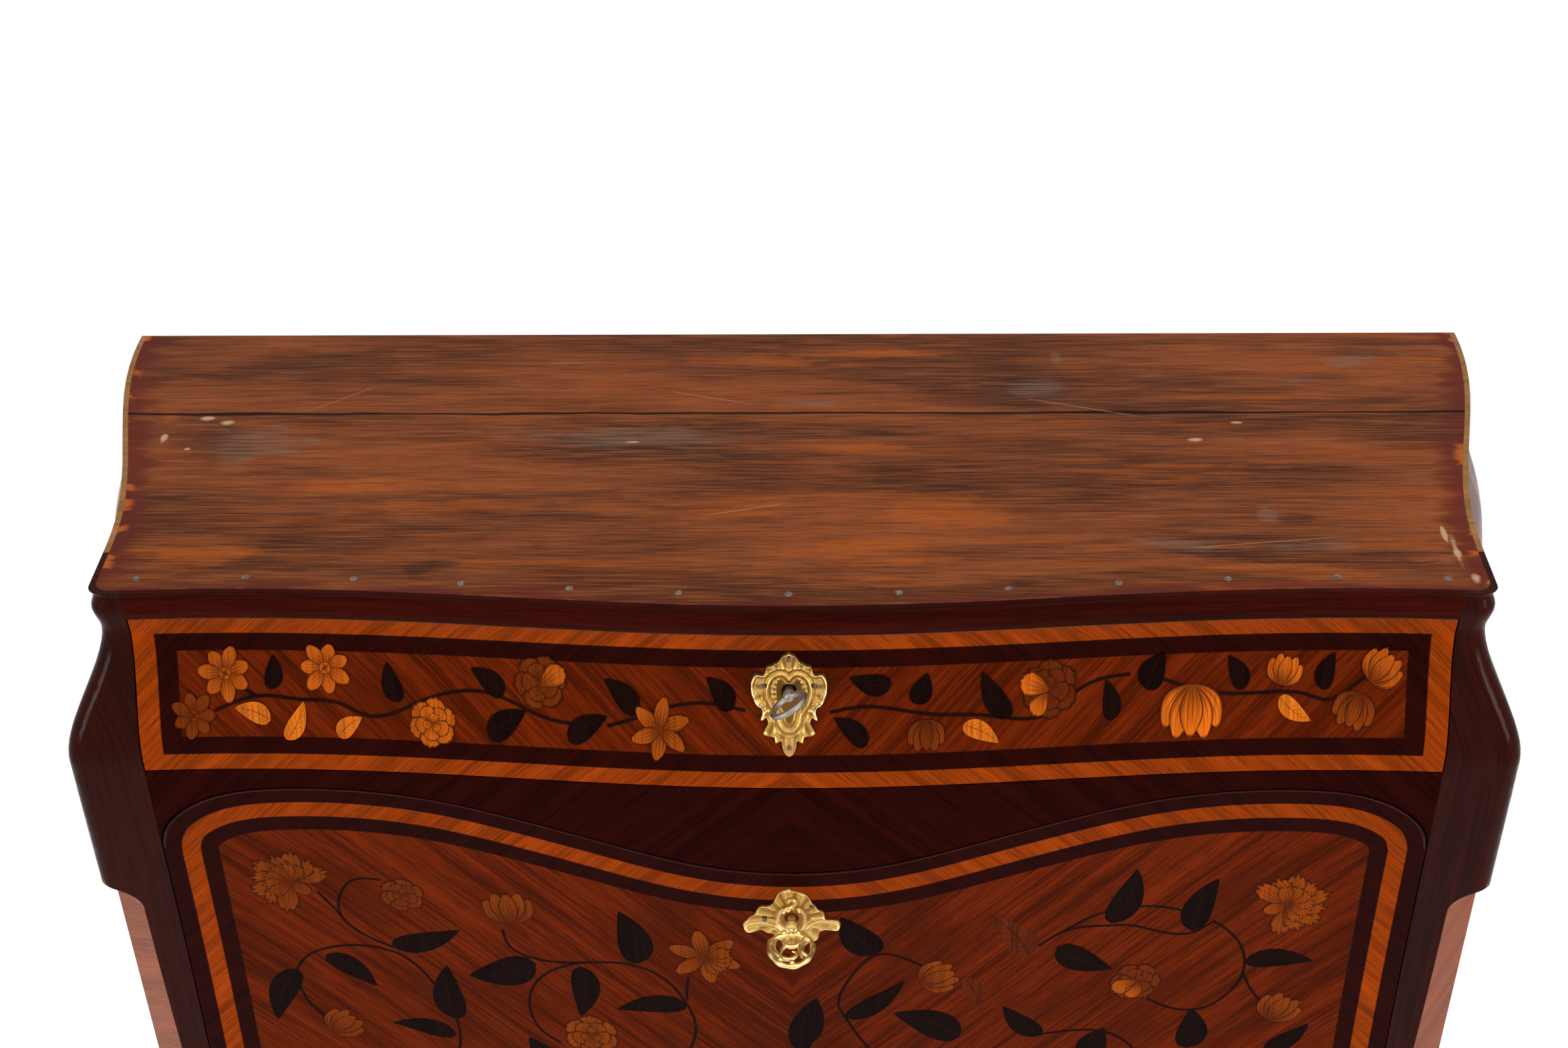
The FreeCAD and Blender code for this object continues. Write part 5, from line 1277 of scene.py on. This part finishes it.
class CABINET_OT_keys(bpy.types.Operator):
    """Keys of the drawer, the fall and the doors"""
    bl_idname = "cabinet.keys"
    bl_label = "Keys"

    def execute(self, context):
        look = bpy.data.materials
        tilt = math.radians(15.0)
        inward = np.array([0.0, math.cos(tilt), -math.sin(tilt)])
        turn = math.radians(32.0)
        start = np.array([0.0, float(front_y(0.0, DRAWER_KEY_Z)), DRAWER_KEY_Z])
        parts = self.plain_key(start, inward, turn, run=40.0)
        key = build_mesh("drawer_ring_key", parts, look["old_steel"], "drawer_key")
        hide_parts("drawer_key")

        start = np.array([DOOR_KEY_X, float(front_y(DOOR_KEY_X, DOOR_KEY_Z)), DOOR_KEY_Z])
        parts = self.plain_key(start, np.array([0.0, 1.0, 0.0]), 0.0, run=24.0)
        key = build_mesh("door_ring_key", parts, look["old_steel"], "door_key")
        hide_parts("door_key")

        parts = self.ornate_key(np.array([0.0, LIP_Y - BULGE, FALL_KEY_Z]))
        key = build_mesh("fall_ornate_key", parts, look["gilt_bronze"], "fall_key")
        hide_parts("fall_key")
        return {"FINISHED"}

    def plain_key(self, start, inward, turn, run):
        """Steel key: turned shaft with collars that runs in by run, a ring and a bit."""
        stem = 12.5
        level = np.array([math.cos(turn), 0.0, math.sin(turn)])
        across = level - inward * (level @ inward)
        across /= np.linalg.norm(across)
        outer = start - inward * stem * MM
        profile = shaft_profile(stem, run, ((1.2, 0.5), (4.0, 1.1), (7.5, 0.7)))
        ring = key_ring(start - inward * (stem + 9.4) * MM, across, inward)
        bit = key_bit(start + inward * (run - 4.0) * MM, across)
        return [lathe(outer, inward, profile), ring, bit]

    def ornate_key(self, start):
        """Gilt key: an openwork bow of a rippled oval, inner scrolls and beads, on a collared stem."""
        x_axis = np.array([1.0, 0.0, 0.0])
        y_axis = np.array([0.0, 1.0, 0.0])
        stem = 13.5
        bow = 29.5
        middle = start - y_axis * bow * MM

        def on_bow(points, rise=0.0):
            """Places of the level bow, in millimetres across and along it, lifted by rise."""
            flat = np.asarray(points, float) * MM
            return middle + flat[:, :1] * x_axis + flat[:, 1:] * y_axis + np.array([0.0, 0.0, rise * MM])

        profile = shaft_profile(stem, 22.0, ((1.0, 1.6), (3.2, 1.0), (5.4, 0.8)))
        parts = [lathe(start - y_axis * stem * MM, y_axis, profile)]
        turn = np.linspace(0.0, 2.0 * math.pi, 81)
        rim = np.stack([15.0 * np.cos(turn), -1.0 + 14.5 * np.sin(turn) + 1.2 * np.cos(2.0 * turn)], axis=-1)
        parts.append(loop_tube(on_bow(rim), 0.0019 + 0.0003 * np.cos(9.0 * turn), 12))
        curls = (((-9, 10), (-12, 3), (-10, -5), (-4, -10), (2, -9), (4, -5), (1, -3)),
                 ((9, 10), (6, 4), (1, 1), (-4, 3), (-5, 7), (-2, 9)),
                 ((0, 13), (-1, 6), (-6, -1), (-7, -6)),
                 ((12, -8), (8, -4), (8, 2), (11, 5)),
                 ((2, 13), (5, 7), (6, -1), (8, -10)))
        for index, curl in enumerate(curls):
            path = smooth_path(curl, 40)
            taper = 0.0017 * np.sin(np.linspace(0.35, 2.9, 40)) ** 0.6
            parts.append(tube(on_bow(path, 0.4 * (index % 2)), taper, 10))
        dome = ((-0.001, 0.0001), (-0.0009, 0.0013), (0.0, 0.0021), (0.0012, 0.0017), (0.0018, 0.0002))
        for x, y in ((-7.0, -11.5), (1.0, -14.5), (-5.0, 13.0), (0.0, 11.5), (5.0, 13.0), (0.0, 15.5)):
            parts.append(lathe(on_bow([(x, y)], 1.2)[0], (0.0, 0.0, 1.0), dome, 14))
        parts.append(key_bit(start + y_axis * 0.018, x_axis))
        return parts


class CABINET_OT_stage(bpy.types.Operator):
    """Floor, lamps and camera"""
    bl_idname = "cabinet.stage"
    bl_label = "Stage"

    def execute(self, context):
        scene = context.scene
        light = scene.cabinet_light
        self.floor()
        world = bpy.data.worlds.new("studio")
        scene.world = world
        world.use_nodes = True
        sky = world.node_tree.nodes["Background"]
        sky.inputs["Color"].default_value = (1.0, 1.0, 1.0, 1.0)
        sky.inputs["Strength"].default_value = light.sky
        self.whiten(world.node_tree, sky.inputs["Strength"], light.sky, 1.0)
        middle = (0.0, 0.0, 1.0)
        self.lamp("overhead", light.key, 3.0, (0.3, -0.6, 3.6), middle)
        for side in (-1.0, 1.0):
            self.lamp("front", light.fill, 1.6, (2.4 * side, -2.6, 2.2), middle)
            self.lamp("strip", light.strip, 0.3, (1.6 * side, -1.5, 1.75), (0.45 * side, -0.1, 1.3), 0.8)
        self.camera(scene)
        scene.view_settings.view_transform = "Standard"
        return {"FINISHED"}

    def floor(self):
        """Level floor out to far beyond the view, white where the camera or a reflection sees it."""
        grid = np.linspace(-FLOOR_HALF, FLOOR_HALF, 13)
        x, y = np.meshgrid(grid, grid, indexing="ij")
        points = np.stack([x, y, np.zeros_like(x)], axis=-1)
        mesh = bpy.data.meshes.new("floor")
        index = np.arange(x.size).reshape(x.shape)
        corners = (index[:-1, :-1], index[1:, :-1], index[1:, 1:], index[:-1, 1:])
        quads = np.stack(corners, axis=-1).reshape(-1, 4)
        mesh.from_pydata(points.reshape(-1, 3).tolist(), [], quads.tolist())
        s = Shader("floor", roughness=0.9, specular=0.05)
        cloud = s.noise(s.place, (0.6, 0.6, 0.6), 3.0)
        s.put("Base Color", s.mix(cloud, srgb(236, 236, 236), srgb(242, 242, 242)))
        s.put("Emission Color", (1.0, 1.0, 1.0))
        self.whiten(s.tree, s.surface.inputs["Emission Strength"], 0.0, 0.5)
        mesh.materials.append(s.material)
        floor = bpy.data.objects.new("floor", mesh)
        bpy.context.scene.collection.objects.link(floor)

    def whiten(self, tree, strength, plain, seen):
        """Gives a strength one value as light and another where a camera or a reflection sees it."""
        path = tree.nodes.new("ShaderNodeLightPath")
        total = path.outputs["Is Camera Ray"]
        for name in ("Is Glossy Ray", "Is Transmission Ray"):
            joined = tree.nodes.new("ShaderNodeMath")
            joined.operation = "MAXIMUM"
            tree.links.new(total, joined.inputs[0])
            tree.links.new(path.outputs[name], joined.inputs[1])
            total = joined.outputs[0]
        level = tree.nodes.new("ShaderNodeMapRange")
        level.inputs["To Min"].default_value = plain
        level.inputs["To Max"].default_value = seen
        tree.links.new(total, level.inputs["Value"])
        tree.links.new(level.outputs["Result"], strength)

    def lamp(self, name, power, size, place, target, long=None):
        """Soft lamp of a size at a place, turned to a target; long is its height."""
        data = bpy.data.lights.new(name, "AREA")
        data.energy = power
        data.shape = "RECTANGLE"
        data.size = size
        data.size_y = long or size
        lamp = bpy.data.objects.new(name, data)
        lamp.location = place
        lamp.rotation_euler = (Vector(target) - Vector(place)).to_track_quat("-Z", "Y").to_euler()
        bpy.context.scene.collection.objects.link(lamp)

    def camera(self, scene):
        """Camera fitted to the view: 36 degrees down, with a slight turn and roll."""
        turn = Matrix.Rotation(CAMERA_YAW, 3, "Z")
        drop = math.sin(CAMERA_PITCH)
        reach = math.cos(CAMERA_PITCH)
        ahead = turn @ Vector((0.0, reach, -drop))
        right = turn @ Vector((1.0, 0.0, 0.0))
        down = turn @ Vector((0.0, -drop, -reach))
        level = math.cos(CAMERA_ROLL) * right + math.sin(CAMERA_ROLL) * down
        plumb = -math.sin(CAMERA_ROLL) * right + math.cos(CAMERA_ROLL) * down
        data = bpy.data.cameras.new("view")
        data.lens = CAMERA_LENS
        data.sensor_width = CAMERA_SENSOR
        camera = bpy.data.objects.new("view", data)
        camera.matrix_world = Matrix((level, -plumb, -ahead)).transposed().to_4x4()
        camera.location = CAMERA_PLACE
        scene.collection.objects.link(camera)
        scene.camera = camera


class CABINET_PT_panel(bpy.types.Panel):
    bl_label = "Writing Cabinet"
    bl_idname = "CABINET_PT_panel"
    bl_space_type = "VIEW_3D"
    bl_region_type = "UI"
    bl_category = "Cabinet"

    def draw(self, context):
        scene = context.scene
        for group in (scene.cabinet_finish, scene.cabinet_light):
            for name in group.__annotations__:
                self.layout.prop(group, name)
        for operator in OPERATORS:
            self.layout.operator(operator.bl_idname)


OPERATORS = (CABINET_OT_surfaces, CABINET_OT_marquetry, CABINET_OT_mounts, CABINET_OT_keys, CABINET_OT_stage)
CLASSES = (CabinetFinish, StudioLight) + OPERATORS + (CABINET_PT_panel,)


def register():
    for item in CLASSES:
        bpy.utils.register_class(item)
    bpy.types.Scene.cabinet_finish = bpy.props.PointerProperty(type=CabinetFinish)
    bpy.types.Scene.cabinet_light = bpy.props.PointerProperty(type=StudioLight)


def unregister():
    del bpy.types.Scene.cabinet_light
    del bpy.types.Scene.cabinet_finish
    for item in reversed(CLASSES):
        bpy.utils.unregister_class(item)


def main():
    """Makes every piece and the stage."""
    register()
    bpy.ops.cabinet.surfaces()
    bpy.ops.cabinet.marquetry()
    bpy.ops.cabinet.mounts()
    bpy.ops.cabinet.keys()
    bpy.ops.cabinet.stage()


if __name__ == "__main__":
    main()
